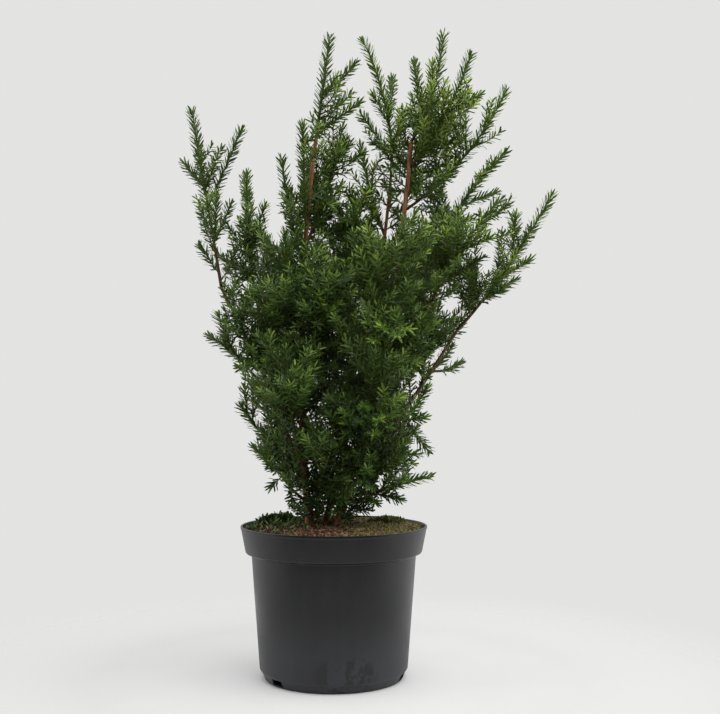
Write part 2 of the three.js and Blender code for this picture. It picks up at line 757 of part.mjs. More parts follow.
function container() {
  const group = new THREE.Group();
  const ground = soil();
  group.add(meshOf('pot', pot(), COLOURS.pot, 0.45));
  group.add(meshOf('soil', ground, COLOURS.soil, 0.95));
  for (const cushion of MOSS) {
    group.add(meshOf(cushion.name, mossCushion(cushion, ground), COLOURS.moss, 0.95));
  }
  return group;
}

function plant() {
  const group = new THREE.Group();
  const limbs = growLimbs(soil());
  for (const [name, limb] of limbs) {
    group.add(meshOf(name, limb.solid.simplify(SLIVER), limb.carries ? COLOURS.stem : COLOURS.bough, 0.85));
  }
  for (const mass of growMasses(limbs)) {
    group.add(meshOf(mass.name, mass.solid.simplify(SLIVER), foliageColour(mass), 0.6));
  }
  return group;
}

const part = new THREE.Group();
part.add(container(), plant());

export default part;
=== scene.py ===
from collections import namedtuple
from itertools import product
import math

import bpy
import numpy as np
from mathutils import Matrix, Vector, noise


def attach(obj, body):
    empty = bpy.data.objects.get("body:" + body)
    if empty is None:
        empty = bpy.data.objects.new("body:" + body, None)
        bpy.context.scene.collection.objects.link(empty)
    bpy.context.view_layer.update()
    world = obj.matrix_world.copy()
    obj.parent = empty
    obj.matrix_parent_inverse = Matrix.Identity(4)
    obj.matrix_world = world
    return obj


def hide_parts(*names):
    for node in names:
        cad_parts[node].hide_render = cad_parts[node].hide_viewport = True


# A Hillii yew in a round nursery pot. Lengths are in millimetres, as in the part's source, and every mesh
# is scaled to metres when it is made. Materials and lamps are in metres. +Z is up and the camera looks
# along +Y.

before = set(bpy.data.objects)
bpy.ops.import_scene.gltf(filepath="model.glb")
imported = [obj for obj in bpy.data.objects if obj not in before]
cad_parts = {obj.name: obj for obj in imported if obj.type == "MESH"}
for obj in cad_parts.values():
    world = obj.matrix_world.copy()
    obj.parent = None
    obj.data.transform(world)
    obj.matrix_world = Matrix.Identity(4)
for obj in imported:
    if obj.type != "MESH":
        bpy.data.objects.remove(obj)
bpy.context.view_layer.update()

MM = 0.001
UP = np.array([0.0, 0.0, 1.0])
GOLDEN_ANGLE = math.pi * (3 - math.sqrt(5))
TINY = 1e-9
CURVE_POINTS = 17
CURVE_STRAIGHT = 1e-3
DRAW_MASK = 0xFFFFFFFF
DRAW_FACTOR = 1664525
DRAW_STEP = 1013904223

# Pot, soil and moss, as in the part's source
POT_HEIGHT = 230
POT_WALL = 2.5
POT_FLOOR = 3
RIM_RADIUS = 143
RIM_LIP = 3
BAND_HEIGHT = 40
BAND_FOOT_RADIUS = 135
BODY_TOP_RADIUS = 126
BODY_FOOT_RADIUS = 113
BODY_FOOT_HEIGHT = 12
FOOT_RADIUS = 105
NOTCH_WIDTH = 22
NOTCH_HEIGHT = 9
NOTCH_DEPTH = 16
NOTCH_BEARINGS = [-139, -17, 103]
SOIL_EDGE_HEIGHT = 221
SOIL_MIDDLE_HEIGHT = 231
MOSS = [
    {"name": "moss_left", "middle": (-88, 52), "size": (34, 26, 13), "clumps": 5},
    {"name": "moss_right", "middle": (88, 44), "size": (32, 24, 9), "clumps": 5},
]
CLUMP_SPREAD = 0.62
CLUMP_SIZE = (0.42, 0.46)
CLUMP_DROP = 0.35
CLUMP_FIRST = 0.3

# Limbs, as in the part's source. A stem has a foot, a bend, a tip and two radii. A bough has the stem that it
# leaves, the share of that stem, a bend, a tip and two radii
STEM_ROOT = 6
FLARE = 0.75
FLARE_HEIGHT = 14
STEMS = [
    ("stem_left", (-37, 0), (-66, -30, 530), (-26, -60, 815), (5.2, 2.9)),
    ("stem_right", (5, -6), (100, -12, 560), (119, -20, 820), (5.8, 3.1)),
    ("stem_back", (-16, 30), (70, 40, 535), (90, 45, 787), (4.4, 2.2)),
]
BOUGHS = [
    ("bough_outer_left", "stem_left", 0.08, (-85, 10, 430), (-174, -5, 593), (3.8, 1.9)),
    ("bough_outer_right", "stem_right", 0.12, (85, 5, 360), (190, -15, 530), (4, 2.2)),
    ("bough_right_upper", "stem_right", 0.51, (140, 15, 615), (168, 25, 675), (2.8, 1.8)),
    ("bough_right_middle", "stem_right", 0.37, (130, -35, 530), (155, -55, 585), (2.8, 1.8)),
    ("bough_left_inner", "stem_left", 0.28, (-110, 20, 500), (-125, 35, 585), (3, 1.8)),
    ("bough_left_low", "stem_left", 0.22, (-90, -25, 420), (-130, -30, 470), (2.6, 1.7)),
    ("bough_front_left", "stem_left", 0.16, (-50, -70, 325), (-55, -95, 365), (2.8, 1.8)),
    ("bough_front_right", "stem_right", 0.28, (55, -80, 445), (50, -115, 525), (3, 1.9)),
    ("bough_low_right", "stem_right", 0.17, (78, -50, 352), (105, -60, 390), (2.8, 1.8)),
    ("bough_skirt_right", "stem_right", 0.06, (38, -30, 270), (60, -35, 280), (2.5, 1.7)),
    ("bough_skirt_left", "stem_left", 0.065, (-65, -25, 285), (-76, -35, 305), (2.5, 1.7)),
    ("bough_back_left", "stem_left", 0.32, (-80, 40, 445), (-90, 80, 520), (3, 1.8)),
    ("bough_back_centre", "stem_back", 0.31, (20, 90, 445), (20, 115, 545), (3, 1.8)),
    ("bough_back_right", "stem_right", 0.25, (100, 60, 420), (125, 95, 510), (3, 1.8)),
    ("bough_low_back", "stem_back", 0.1, (0, 55, 285), (5, 85, 335), (2.6, 1.7)),
]
# Masses of foliage, as in the part's source, but with low_right_arm's share and low_left's first tip a little
# closer to the photo. A mass has the limb that carries it, the share of it, the bend of its stem or None, the
# reach and the density of its filling shoots, and its tips, the stem's own first
Mass = namedtuple("Mass", "name on at bend reach density tips")
MASSES = [Mass(*row) for row in [
    ("crown_left_top", "stem_left", 1, None, 52, 1,
     [(-5, -85, 960), (34, -60, 929), (6, -95, 900), (40, -45, 873)]),
    ("crown_left_side", "stem_left", 0.76, None, 50, 1, [(-45, -85, 830)]),
    ("left_finger", "stem_left", 0.66, None, 47, 1, [(-80, -30, 790)]),
    ("crown_left_back", "stem_left", 0.72, None, 57, 4, [(12, 15, 851), (25, -10, 820)]),
    ("centre_finger", "stem_back", 0.8, None, 47, 1, [(40, 75, 838)]),
    ("crown_mid_top", "stem_back", 1, None, 57, 2,
     [(45, 25, 993), (93, 92, 952), (60, 10, 903), (41, 40, 878)]),
    ("crown_right_top", "stem_right", 1, (160, -22, 880), 54, 2,
     [(168, -25, 985), (150, -50, 932), (125, 10, 953)]),
    ("crown_right_outer", "stem_right", 0.92, None, 54, 2,
     [(207, -60, 943), (224, -35, 888), (171, -85, 880)]),
    ("crown_right_back", "stem_right", 0.84, None, 57, 5, [(155, 80, 910), (195, 90, 873)]),
    ("arm_right_upper", "stem_right", 0.8, None, 52, 3, [(269, 10, 908)]),
    ("arm_right_middle", "bough_right_upper", 1, None, 54, 3, [(273, 40, 817), (260, 70, 757)]),
    ("shoulder_right", "bough_right_middle", 1, None, 57, 3,
     [(250, -70, 720), (233, -95, 661), (226, -50, 637)]),
    ("arm_right_outer", "bough_outer_right", 1, (256, -25, 600), 57, 4,
     [(335, -30, 737), (275, -55, 700), (295, -60, 632), (284, 15, 610), (257, -45, 590)]),
    ("right_inner", "bough_outer_right", 0.72, None, 55, 4, [(150, 25, 580), (207, 30, 556)]),
    ("low_right_arm", "bough_outer_right", 0.8, None, 57, 3, [(197, 20, 479), (185, 40, 507)]),
    ("low_right", "bough_low_right", 1, None, 57, 4, [(141, -70, 440), (135, -90, 396), (142, -55, 345)]),
    ("skirt_right", "bough_skirt_right", 1, None, 54, 4, [(147, -35, 306), (100, -60, 274)]),
    ("skirt_left", "bough_skirt_left", 1, None, 52, 2, [(-121, -35, 350), (-95, -50, 291), (-112, 0, 377)]),
    ("low_left", "bough_outer_left", 0.2, None, 57, 4, [(-145, 10, 413), (-142, 35, 442)]),
    ("left_low_outer", "bough_left_low", 1, None, 52, 3,
     [(-191, -20, 519), (-174, -50, 551), (-140, -60, 470)]),
    ("arm_left_outer", "bough_outer_left", 1, (-196, -5, 726), 52, 2,
     [(-219, -25, 867), (-236, 10, 794), (-140, -45, 832), (-175, -60, 732), (-164, 25, 731),
      (-204, -35, 657)]),
    ("left_middle", "bough_outer_left", 0.6, None, 55, 4, [(-144, -60, 553), (-120, -85, 585)]),
    ("left_inner", "bough_left_inner", 1, None, 54, 3, [(-143, 60, 787), (-110, 25, 729), (-130, 90, 705)]),
    ("left_shoulder", "stem_left", 0.48, None, 62, 5, [(-70, -100, 666), (-97, -75, 645)]),
    ("front_left_column", "bough_front_left", 1, None, 60, 5, [(-65, -135, 495), (-27, -150, 445)]),
    ("front_fork", "bough_front_right", 1, (60, -135, 580), 57, 4, [(120, -135, 689), (30, -130, 661)]),
    ("centre_top", "stem_back", 0.6, None, 60, 3, [(25, -10, 742), (0, 25, 730), (60, -25, 706)]),
    ("centre_front", "stem_left", 0.38, None, 60, 5, [(5, -130, 621), (-37, -125, 614), (0, -150, 549)]),
    ("front_right", "stem_right", 0.42, None, 62, 4, [(90, -160, 545), (143, -125, 541)]),
    ("front_low", "stem_left", 0.09, None, 60, 4, [(0, -125, 357), (20, -105, 305)]),
    ("front_column_right", "stem_right", 0.2, None, 60, 5, [(61, -165, 490), (45, -160, 413)]),
    ("front_low_right", "stem_right", 0.11, None, 60, 3, [(103, -115, 357), (55, -125, 343)]),
    ("back_left", "bough_back_left", 1, None, 64, 4, [(-75, 140, 702), (-120, 110, 649), (-140, 115, 568)]),
    ("back_centre", "bough_back_centre", 1, None, 64, 5, [(15, 150, 720), (-20, 175, 680)]),
    ("back_right", "bough_back_right", 1, None, 64, 4, [(165, 125, 727), (190, 120, 639), (125, 165, 675)]),
    ("back_low", "bough_low_back", 1, None, 64, 4, [(-20, 165, 463), (55, 165, 427)]),
    ("back_low_left", "bough_outer_left", 0.12, None, 62, 4, [(-100, 105, 405), (-115, 60, 341)]),
    ("back_low_right", "stem_right", 0.145, None, 62, 4, [(106, 120, 397), (135, 80, 334)]),
]]

# Shoots, as in the part's source, but leaders bear needles over more of their length
GAP = 0.3
LEADER_LENGTH = 180
NAMED_ANGLE = 37
FILL_ANGLES = (42, 60)
FILL_LIFT = 0.12
FILL_START = 0.12
FILL_SPAN = 0.7
FILL_SPREAD = 0.618
FILL_CHANGE = 0.2
FILL_TAPER = 0.45
FILL_BOW = 0.1
FILL_LENGTHS = (0.9, 1.25)
FILL_SEEDS = (7919, 104729)
STEM_BOW = 0.15
STEM_LEAD = 0.45
FORK_SHARES = (0.05, 0.85, 0.02)
INSIDE_SHARES = (0.4, 0.7, 1)

# The kinds of shoots: the radii of the twig, its bare length at the foot, the length at the tip that bears
# no side shoots, the sides and rings of the twig's mesh, and the needles' length, step and angles
Kind = namedtuple("Kind", "radii bare clear sides rings needle step angles")
KINDS = {
    "stem": Kind((2.6, 0.9), 14, 105, 6, 12, 16.5, 0.9, (60, 46)),
    "named": Kind((1.3, 0.7), 7, 70, 5, 7, 16, 0.95, (60, 46)),
    "fill": Kind((1.3, 0.7), 7, 26, 4, 5, 14.5, 1.45, (68, 54)),
    "side": Kind((0.9, 0.5), 4, 0, 3, 4, 13.5, 1.55, (72, 60)),
}

# The crown as the eye sees it, finer than in the part's source. Rows of the outline have a height and the
# left, right and depth there. Sky gaps have their middle across and up, their width and their height
EYE = np.array([40.0, -1685.0, 423.0])
OUTLINE = np.array([
    [250, -78, 70, 60], [285, -94, 138, 100], [315, -122, 138, 120], [345, -127, 134, 140],
    [440, -145, 150, 170], [475, -176, 170, 178], [500, -188, 190, 180], [560, -186, 230, 185],
    [620, -206, 295, 185], [720, -224, 330, 170], [755, -242, 315, 160], [870, -225, 268, 125],
    [895, -45, 268, 115], [925, -35, 262, 110], [950, -25, 215, 100], [990, -15, 175, 90],
], float)
SKY_GAPS = [
    (78, 702, 16, 44), (46, 786, 14, 14), (103, 764, 12, 16), (-174, 672, 5, 40), (173, 588, 2, 34),
    (-115, 860, 104, 164), (47, 930, 22, 100), (33, 856, 20, 46), (36, 822, 18, 14), (214, 795, 30, 30),
    (247, 686, 4, 34), (143, 978, 28, 54), (192, 950, 14, 54), (238, 925, 30, 46), (225, 840, 20, 36),
    (70, 856, 28, 50), (26, 975, 24, 44), (-170, 755, 28, 84), (-110, 748, 28, 60), (-90, 690, 22, 44),
    (-62, 775, 6, 44), (203, 757, 14, 48), (186, 740, 14, 28), (222, 733, 22, 20), (255, 752, 20, 44),
    (296, 725, 24, 54), (236, 642, 12, 34), (154, 450, 44, 14), (126, 441, 44, 8), (-130, 386, 36, 24),
]
CROWN_FOOT = 238
OUTLINE_MARGIN = 12
OUTLINE_FULLNESS = 1.3
GAP_MARGIN = 8
INNER_PART = (0.5, 0.85)
INNER_HEIGHTS = (750, 850)
OPEN_HEIGHT = 898

# The same rule carried to finer twigs: more filling shoots in each mass
FILL_FIRST = 3
FILL_MORE = 1.7
FILL_TRIES = 14
FILL_ROOMS = (10, 11.5)
FILL_CHECKS = (0.45, 0.7, 1)

# Short shoots on the limbs themselves, closer and flatter at the foot, and none in front high up
LIMB_SEED = 5
LIMB_SHOOT_STEP = 6
LIMB_SHOOT_TOP = 880
LIMB_SHOOT_LENGTHS = (36, 70)
LIMB_SHOOT_ANGLES = (38, 62)
LIMB_SHOOT_CHECKS = (0.6, 0.8, 1)
LIMB_SHOOT_MASSES = {"stem_left": "front_low", "stem_right": "front_low_right", "stem_back": "back_low"}
LIMB_FOOT_HEIGHT = 330
LIMB_FOOT_ANGLES = (62, 98)
LIMB_FOOT_STEP = 0.55
LIMB_HIGH = 640
LIMB_HIGH_LENGTH = 0.7
LIMB_HIGH_FRONT = -0.1

# Side shoots on all shoots
SIDE_SEED = 1
SIDE_FIRST = 12
SIDE_STEP = 9
SIDE_STEP_CHANGE = (0.8, 1.2)
SIDE_UPRIGHT = 0.02
SIDE_RANKED = 0.35
SIDE_RANK_TURNS = (-0.1, 0.9)
SIDE_ANGLES = (36, 54)
SIDE_INNER_ANGLE = 14
SIDE_SHARE = 0.42
SIDE_SHARE_CHANGE = (0.8, 1.25)
SIDE_LENGTHS = (24, 52)
SIDE_LIFTS = (0.12, 0.42)
SIDE_MIDDLE = 0.6
SIDE_ROOMS = (7.5, 9.5)
SIDE_CHECKS = (0.5, 0.8, 1)

# The room that limbs keep, and the grid in which room is looked for
LIMB_ROOM = 4
SPACE_CELL = 16
SPACE_STEP = 6
SPACE_START = 0.1

Limb = namedtuple("Limb", "curve radii is_stem")
Shoot = namedtuple("Shoot", "mass kind curve bare")


def mix(low, high, share):
    """The value at a share of the way from low to high."""
    return low + (high - low) * share


def smooth(low, high, value):
    """0 below low, 1 above high and smooth between."""
    share = np.clip((value - low) / (high - low), 0, 1)
    return share * share * (3 - 2 * share)


def unit(v):
    """A vector, or each of several, at length 1."""
    return v / np.maximum(np.linalg.norm(v, axis=-1, keepdims=True), TINY)


def seeded(seed):
    """Numbers from 0 to 1 that are the same for the same seed, as in the part's source."""
    state = [seed & DRAW_MASK]

    def draw():
        state[0] = (state[0] * DRAW_FACTOR + DRAW_STEP) & DRAW_MASK
        return state[0] / (DRAW_MASK + 1)

    draw()
    draw()
    return draw


class Curve:
    """A quadratic curve that starts at one point, is drawn towards a bend and ends at another point."""

    def __init__(self, start, bend, end):
        self.start, self.bend, self.end = (np.array(p, float) for p in (start, bend, end))
        points = self.at(np.linspace(0, 1, CURVE_POINTS))
        self.length = float(np.linalg.norm(np.diff(points, axis=0), axis=1).sum())
        across = np.cross(self.bend - self.start, self.end - self.bend)
        if np.linalg.norm(across) < CURVE_STRAIGHT * ((self.end - self.start) ** 2).sum():
            along = self.along(0.5)
            across = np.cross(np.roll(along, 1), along)
        self.across = unit(across)

    def at(self, share):
        s = np.asarray(share, float)[..., None]
        return (1 - s) ** 2 * self.start + 2 * (1 - s) * s * self.bend + s ** 2 * self.end

    def along(self, share):
        s = np.asarray(share, float)[..., None]
        return unit((1 - s) * (self.bend - self.start) + s * (self.end - self.bend))

    def third(self, share):
        return np.cross(self.across, self.along(share))


def bowed(start, end, bow):
    """A curve from one point to another that leaves lower and further out, then turns up."""
    way = end - start
    flat = math.hypot(way[0], way[1])
    out = unit(np.array([way[0], way[1], 0.0]))
    return Curve(start, start + way / 2 + (out - UP) * bow * flat, end)


# Limbs and shoots


def grow_limbs():
    """The centre line and radii of every stem and bough, by name."""
    limbs = {}
    for name, foot, bend, tip, radii in STEMS:
        curve = Curve((*foot, SOIL_MIDDLE_HEIGHT - STEM_ROOT), bend, tip)
        limbs[name] = Limb(curve, radii, True)
    for name, on, at, bend, tip, radii in BOUGHS:
        limbs[name] = Limb(Curve(limbs[on].curve.at(at), bend, tip), radii, False)
    return limbs


def outline_at(height):
    """Where the outline rows put the crown at a height: its left, its right and its depth."""
    return [float(np.interp(height, OUTLINE[:, 0], OUTLINE[:, i])) for i in (1, 2, 3)]


def crown_place(point):
    """How far out in the crown a point is, from 0 in the middle to 1 at the outline seen from the eye."""
    scale = -EYE[1] / (point[1] - EYE[1])
    x = EYE[0] + (point[0] - EYE[0]) * scale
    z = EYE[2] + (point[2] - EYE[2]) * scale
    left, right, depth = outline_at(z)
    across = (x - (left + right) / 2) / ((right - left) / 2 - OUTLINE_MARGIN)
    return x, z, across, point[1] / depth


def in_crown(point):
    """Whether a point is inside the crown and in front of no sky gap."""
    x, z, across, deep = crown_place(point)
    if z < CROWN_FOOT or abs(across) > 1 or across ** 4 + deep ** 4 > OUTLINE_FULLNESS:
        return False
    for gap_x, gap_z, width, height in SKY_GAPS:
        u = (x - gap_x) / (width / 2 + GAP_MARGIN)
        v = (z - gap_z) / (height / 2 + GAP_MARGIN)
        if u * u + v * v <= 1:
            return False
    return True


def openness(point):
    """How open the crown is at a place: from 0 in its middle to 1 outside and high up."""
    _, z, across, deep = crown_place(point)
    return max(smooth(*INNER_PART, math.hypot(across, deep)), smooth(*INNER_HEIGHTS, z))


def fork_share(curve, tip):
    """The share of a stem at which a shoot to the tip leaves it at the usual angle."""
    shares = np.arange(FORK_SHARES[0], FORK_SHARES[1] + FORK_SHARES[2] / 2, FORK_SHARES[2])
    way = unit(tip - curve.at(shares))
    angles = np.degrees(np.arccos(np.clip((way * curve.along(shares)).sum(axis=1), -1, 1)))
    return float(shares[np.argmin(np.abs(angles - NAMED_ANGLE))])


def mass_stem(mass, limbs):
    """The stem of a mass: it goes on from its bough's tip, or leaves the side of a limb."""
    curve = limbs[mass.on].curve
    tip = np.array(mass.tips[0], float)
    if mass.at < 1:
        return bowed(curve.at(mass.at), tip, STEM_BOW)
    along = curve.along(1)
    end = curve.at(1)
    bend = mass.bend
    if bend is None:
        bend = end + along * STEM_LEAD * np.linalg.norm(tip - end)
    return Curve(end - along * GAP, bend, tip)


def way_from(along, side, third, turn, angle):
    """The direction that leaves a curve at an angle, at a turn round it."""
    round_curve = side * math.cos(turn) + third * math.sin(turn)
    return round_curve * math.sin(angle) + along * math.cos(angle)


def shoot_curve(base, way, length, lift):
    """A shoot of a given length that bows upwards, with its tip lifted to the sky."""
    return bowed(base, base + way * length + UP * length * lift, FILL_BOW)


def fill_curve(reach, stem, order, i):
    """The filling shoot number i of a mass: round the stem by the golden angle, shorter to its tip."""
    draw = seeded(order * FILL_SEEDS[0] + i * FILL_SEEDS[1])
    share = FILL_START + FILL_SPAN * ((i * FILL_SPREAD + draw() * FILL_CHANGE) % 1)
    turn = i * GOLDEN_ANGLE + draw() + order
    angle = math.radians(mix(*FILL_ANGLES, draw()))
    length = reach * (1 - FILL_TAPER * share) * mix(*FILL_LENGTHS, draw()) / math.sin(angle)
    way = way_from(stem.along(share), stem.across, stem.third(share), turn, angle)
    return shoot_curve(stem.at(share), way, length, FILL_LIFT)


class Space:
    """Points along everything that has grown, in a grid of cells, each with the room that it keeps."""

    def __init__(self):
        self.cells = {}

    def add(self, curve, room):
        count = max(2, int(curve.length / SPACE_STEP))
        for point in curve.at(np.linspace(SPACE_START, 1, count)):
            cell = tuple(int(v // SPACE_CELL) for v in point)
            self.cells.setdefault(cell, []).append((*point, room))

    def clear(self, curve, shares, rooms):
        """Whether a curve keeps clear of everything at some shares of it, with more room in the open."""
        room = mix(*rooms, openness(curve.end))
        for x, y, z in curve.at(shares):
            middle = (int(v // SPACE_CELL) for v in (x, y, z))
            for cell in product(*((i - 1, i, i + 1) for i in middle)):
                for px, py, pz, own in self.cells.get(cell, ()):
                    keep = max(room, own)
                    if (px - x) ** 2 + (py - y) ** 2 + (pz - z) ** 2 < keep * keep:
                        return False
        return True


def grow_masses(limbs):
    """All shoots. Each mass grows its stem and its named shoots, then they take turns to add filling shoots,
    the limbs grow short shoots, and every shoot then adds side shoots. A shoot that would leave the crown or
    come too near to another is skipped."""
    space = Space()
    for limb in limbs.values():
        space.add(limb.curve, LIMB_ROOM)
    shoots = []

    def keep(mass, kind, curve):
        bare = KINDS[kind].bare
        if kind == "stem":
            bare = max(bare, curve.length - LEADER_LENGTH)
        space.add(curve, 0)
        shoots.append(Shoot(mass, kind, curve, bare))

    stems = [mass_stem(mass, limbs) for mass in MASSES]
    for number, stem in enumerate(stems):
        keep(number, "stem", stem)
    for number, mass in enumerate(MASSES):
        for tip in mass.tips[1:]:
            tip = np.array(tip, float)
            base = stems[number].at(fork_share(stems[number], tip))
            keep(number, "named", bowed(base, tip, 0))
    wanted = [round(FILL_FIRST + FILL_MORE * mass.density ** 2) for mass in MASSES]
    grown = [0] * len(MASSES)
    for i in range(FILL_TRIES * max(wanted)):
        for number, mass in enumerate(MASSES):
            if grown[number] >= wanted[number] or i >= FILL_TRIES * wanted[number]:
                continue
            curve = fill_curve(mass.reach, stems[number], number + 1, i)
            inside = all(in_crown(curve.at(share)) for share in INSIDE_SHARES)
            inside = inside and curve.end[2] < OPEN_HEIGHT
            if inside and space.clear(curve, FILL_CHECKS, FILL_ROOMS):
                keep(number, "fill", curve)
                grown[number] += 1
    grow_on_limbs(limbs, space, keep)
    for number, parent in enumerate(list(shoots)):
        grow_sides(parent, number, space, keep)
    return shoots


def grow_on_limbs(limbs, space, keep):
    """Short shoots all round the stems and boughs themselves, from near the soil to the crown's middle."""
    names = [mass.name for mass in MASSES]
    carriers = {row[0]: row[1] for row in BOUGHS}
    for number, (name, limb) in enumerate(limbs.items()):
        draw = seeded(number * FILL_SEEDS[1] + LIMB_SEED)
        mass = names.index(LIMB_SHOOT_MASSES[carriers.get(name, name)])
        curve = limb.curve
        place = LIMB_SHOOT_STEP
        turn = draw() * 2 * math.pi
        while place < curve.length:
            share = place / curve.length
            base = curve.at(share)
            low = base[2] < LIMB_FOOT_HEIGHT
            high = base[2] >= LIMB_HIGH
            turn += GOLDEN_ANGLE
            angles = LIMB_FOOT_ANGLES if low else LIMB_SHOOT_ANGLES
            angle = math.radians(mix(*angles, draw()))
            length = mix(*LIMB_SHOOT_LENGTHS, draw()) * (LIMB_HIGH_LENGTH if high else 1)
            way = way_from(curve.along(share), curve.across, curve.third(share), turn, angle)
            shoot = shoot_curve(base, way, length, FILL_LIFT)
            in_front = high and way[1] <= LIMB_HIGH_FRONT
            inside = in_crown(shoot.end) and shoot.end[2] < LIMB_SHOOT_TOP
            if inside and not in_front and space.clear(shoot, LIMB_SHOOT_CHECKS, FILL_ROOMS):
                keep(mass, "fill", shoot)
            place += LIMB_SHOOT_STEP * (LIMB_FOOT_STEP if low else 1)


def grow_sides(parent, number, space, keep):
    """Side shoots by the same rule along one shoot: in two ranks where it leans, all round it if upright."""
    draw = seeded(number * FILL_SEEDS[0] + SIDE_SEED)
    curve = parent.curve
    last = curve.length - KINDS[parent.kind].clear
    place = SIDE_FIRST
    turn = draw() * 2 * math.pi
    rank = 1 if draw() < 0.5 else -1
    while place < last:
        share = place / curve.length
        along = curve.along(share)
        flat = 1 - abs(along[2])
        side = unit(np.cross(along, UP)) if flat > SIDE_UPRIGHT else curve.across
        lift = np.cross(side, along)
        turn += GOLDEN_ANGLE
        rank = -rank
        ranked = math.pi / 2 * (1 - rank) + rank * mix(*SIDE_RANK_TURNS, draw())
        angle_round = ranked if draw() < flat * SIDE_RANKED else turn
        base = curve.at(share)
        free = openness(base)
        angle = math.radians(mix(*SIDE_ANGLES, draw()) + SIDE_INNER_ANGLE * (1 - free))
        length = (curve.length - place) * SIDE_SHARE * mix(*SIDE_SHARE_CHANGE, draw())
        way = way_from(along, side, lift, angle_round, angle)
        shoot = shoot_curve(base, way, float(np.clip(length, *SIDE_LENGTHS)), mix(*SIDE_LIFTS, free))
        inside = in_crown(shoot.end) and in_crown(shoot.at(SIDE_MIDDLE)) and shoot.end[2] < OPEN_HEIGHT
        if inside and space.clear(shoot, SIDE_CHECKS, SIDE_ROOMS):
            keep(parent.mass, "side", shoot)
        place += SIDE_STEP * mix(*SIDE_STEP_CHANGE, draw())


# Meshes from arrays


def round_angles(count):
    """Angles that go once round a circle in even steps."""
    return np.arange(count) * 2 * math.pi / count


def mesh_object(name, points, triangles, slots, materials, smooth_faces):
    """An object of triangles, with a material slot number for each or one for all."""
    count = len(triangles)
    mesh = bpy.data.meshes.new(name)
    mesh.vertices.add(len(points))
    mesh.vertices.foreach_set("co", (np.asarray(points, np.float64) * MM).astype(np.float32).ravel())
    mesh.loops.add(count * 3)
    mesh.loops.foreach_set("vertex_index", np.asarray(triangles, np.int32).ravel())
    mesh.polygons.add(count)
    mesh.polygons.foreach_set("loop_start", np.arange(0, count * 3, 3, dtype=np.int32))
    mesh.polygons.foreach_set("material_index", np.full(count, slots, np.int32))
    mesh.polygons.foreach_set("use_smooth", np.full(count, smooth_faces))
    mesh.update(calc_edges=True)
    for material in materials:
        mesh.materials.append(material)
    return linked(bpy.data.objects.new(name, mesh))


def linked(item):
    """The object itself, once it is in the scene."""
    bpy.context.scene.collection.objects.link(item)
    return item


def closed_triangles(rings, sides):
    """The triangles of a closed form of rings. Its foot point comes after them, and then its top point."""
    level, side = np.meshgrid(np.arange(rings - 1), np.arange(sides), indexing="ij")
    a = (level * sides + side).ravel()
    b = (level * sides + (side + 1) % sides).ravel()
    c, d = b + sides, a + sides
    around = np.arange(sides)
    after = (around + 1) % sides
    foot = rings * sides
    top = (rings - 1) * sides
    return np.concatenate([
        np.stack([a, b, c], axis=1),
        np.stack([a, c, d], axis=1),
        np.stack([after, around, np.full(sides, foot)], axis=1),
        np.stack([top + around, top + after, np.full(sides, foot + 1)], axis=1),
    ])


def tube(centres, radii, across, third, sides):
    """The points and triangles of a closed tube through the given centres."""
    count = len(centres)
    turn = round_angles(sides)
    radii = radii.reshape(count, -1)
    rings = (
        centres[:, None]
        + across * (np.cos(turn)[None, :] * radii)[..., None]
        + third[:, None] * (np.sin(turn)[None, :] * radii)[..., None]
    )
    points = np.concatenate([rings.reshape(-1, 3), centres[:1], centres[-1:]])
    return points, closed_triangles(count, sides)


def joined(name, parts, materials):
    """One smooth object of several meshes, each given as points, triangles and slot numbers."""
    points, triangles, slots = [], [], []
    start = 0
    for part_points, part_triangles, slot in parts:
        points.append(part_points)
        triangles.append(part_triangles + start)
        slots.append(np.broadcast_to(slot, len(part_triangles)))
        start += len(part_points)
    points, triangles, slots = (np.concatenate(rows) for rows in (points, triangles, slots))
    return mesh_object(name, points, triangles, slots, materials, True)


# Needles, life-size

NEEDLE_WIDTH = 2.8
NEEDLE_RIDGE = 0.5
NEEDLE_CURVE = 0.12
NEEDLES_LEAST = 4
NEEDLE_SIDE_NUDGE = 1e-3
NEEDLE_PLACE_CHANGE = 0.6
NEEDLE_TURN_CHANGE = 0.5
NEEDLE_ANGLE_CHANGE = 4
NEEDLE_LENGTH_CHANGE = (0.07, 0.2)
NEEDLE_WIDTH_CHANGE = (0.06, 0.15)
NEEDLE_ROLL = 0.45

# Needles part into two ranks where a shoot leans
NEEDLE_RANKED = 0.4
NEEDLE_RANK_LEANS = (0.1, 0.45)
NEEDLE_RANK_OUT = 0.8
NEEDLE_RANK_LIFT = 0.28

# Needles are shorter at a shoot's foot, and shorter and in a tuft at its tip
NEEDLE_FOOT_SIZE = 0.62
NEEDLE_FOOT_SHARE = 0.22
NEEDLE_TIP_SIZE = 0.72
NEEDLE_TIP_REACH = 9
NEEDLE_TIP_ANGLES = (16, 58)

# A needle's mesh: its base, three points at each of two stations and its tip. A station has its share of the
# length and its half breadth as a share of the width
NEEDLE_STATIONS = ((0.16, 0.46), (0.78, 0.44))
NEEDLE_TRIANGLES = np.array([
    (0, 1, 2), (0, 2, 3), (0, 3, 1),
    (1, 4, 5), (1, 5, 2), (2, 5, 6), (2, 6, 3), (3, 6, 4), (3, 4, 1),
    (4, 7, 5), (5, 7, 6), (6, 7, 4),
])
NEEDLE_UNDERSIDE = np.array([0, 0, 1, 0, 0, 0, 0, 1, 1, 0, 0, 1], bool)
Needles = namedtuple("Needles", "base way face length bend along_shoot at_tip")


def varied(random, change, count):
    """Factors round 1, with a usual change and a greatest one."""
    usual, greatest = change
    return random.normal(1, usual, count).clip(1 - greatest, 1 + greatest)


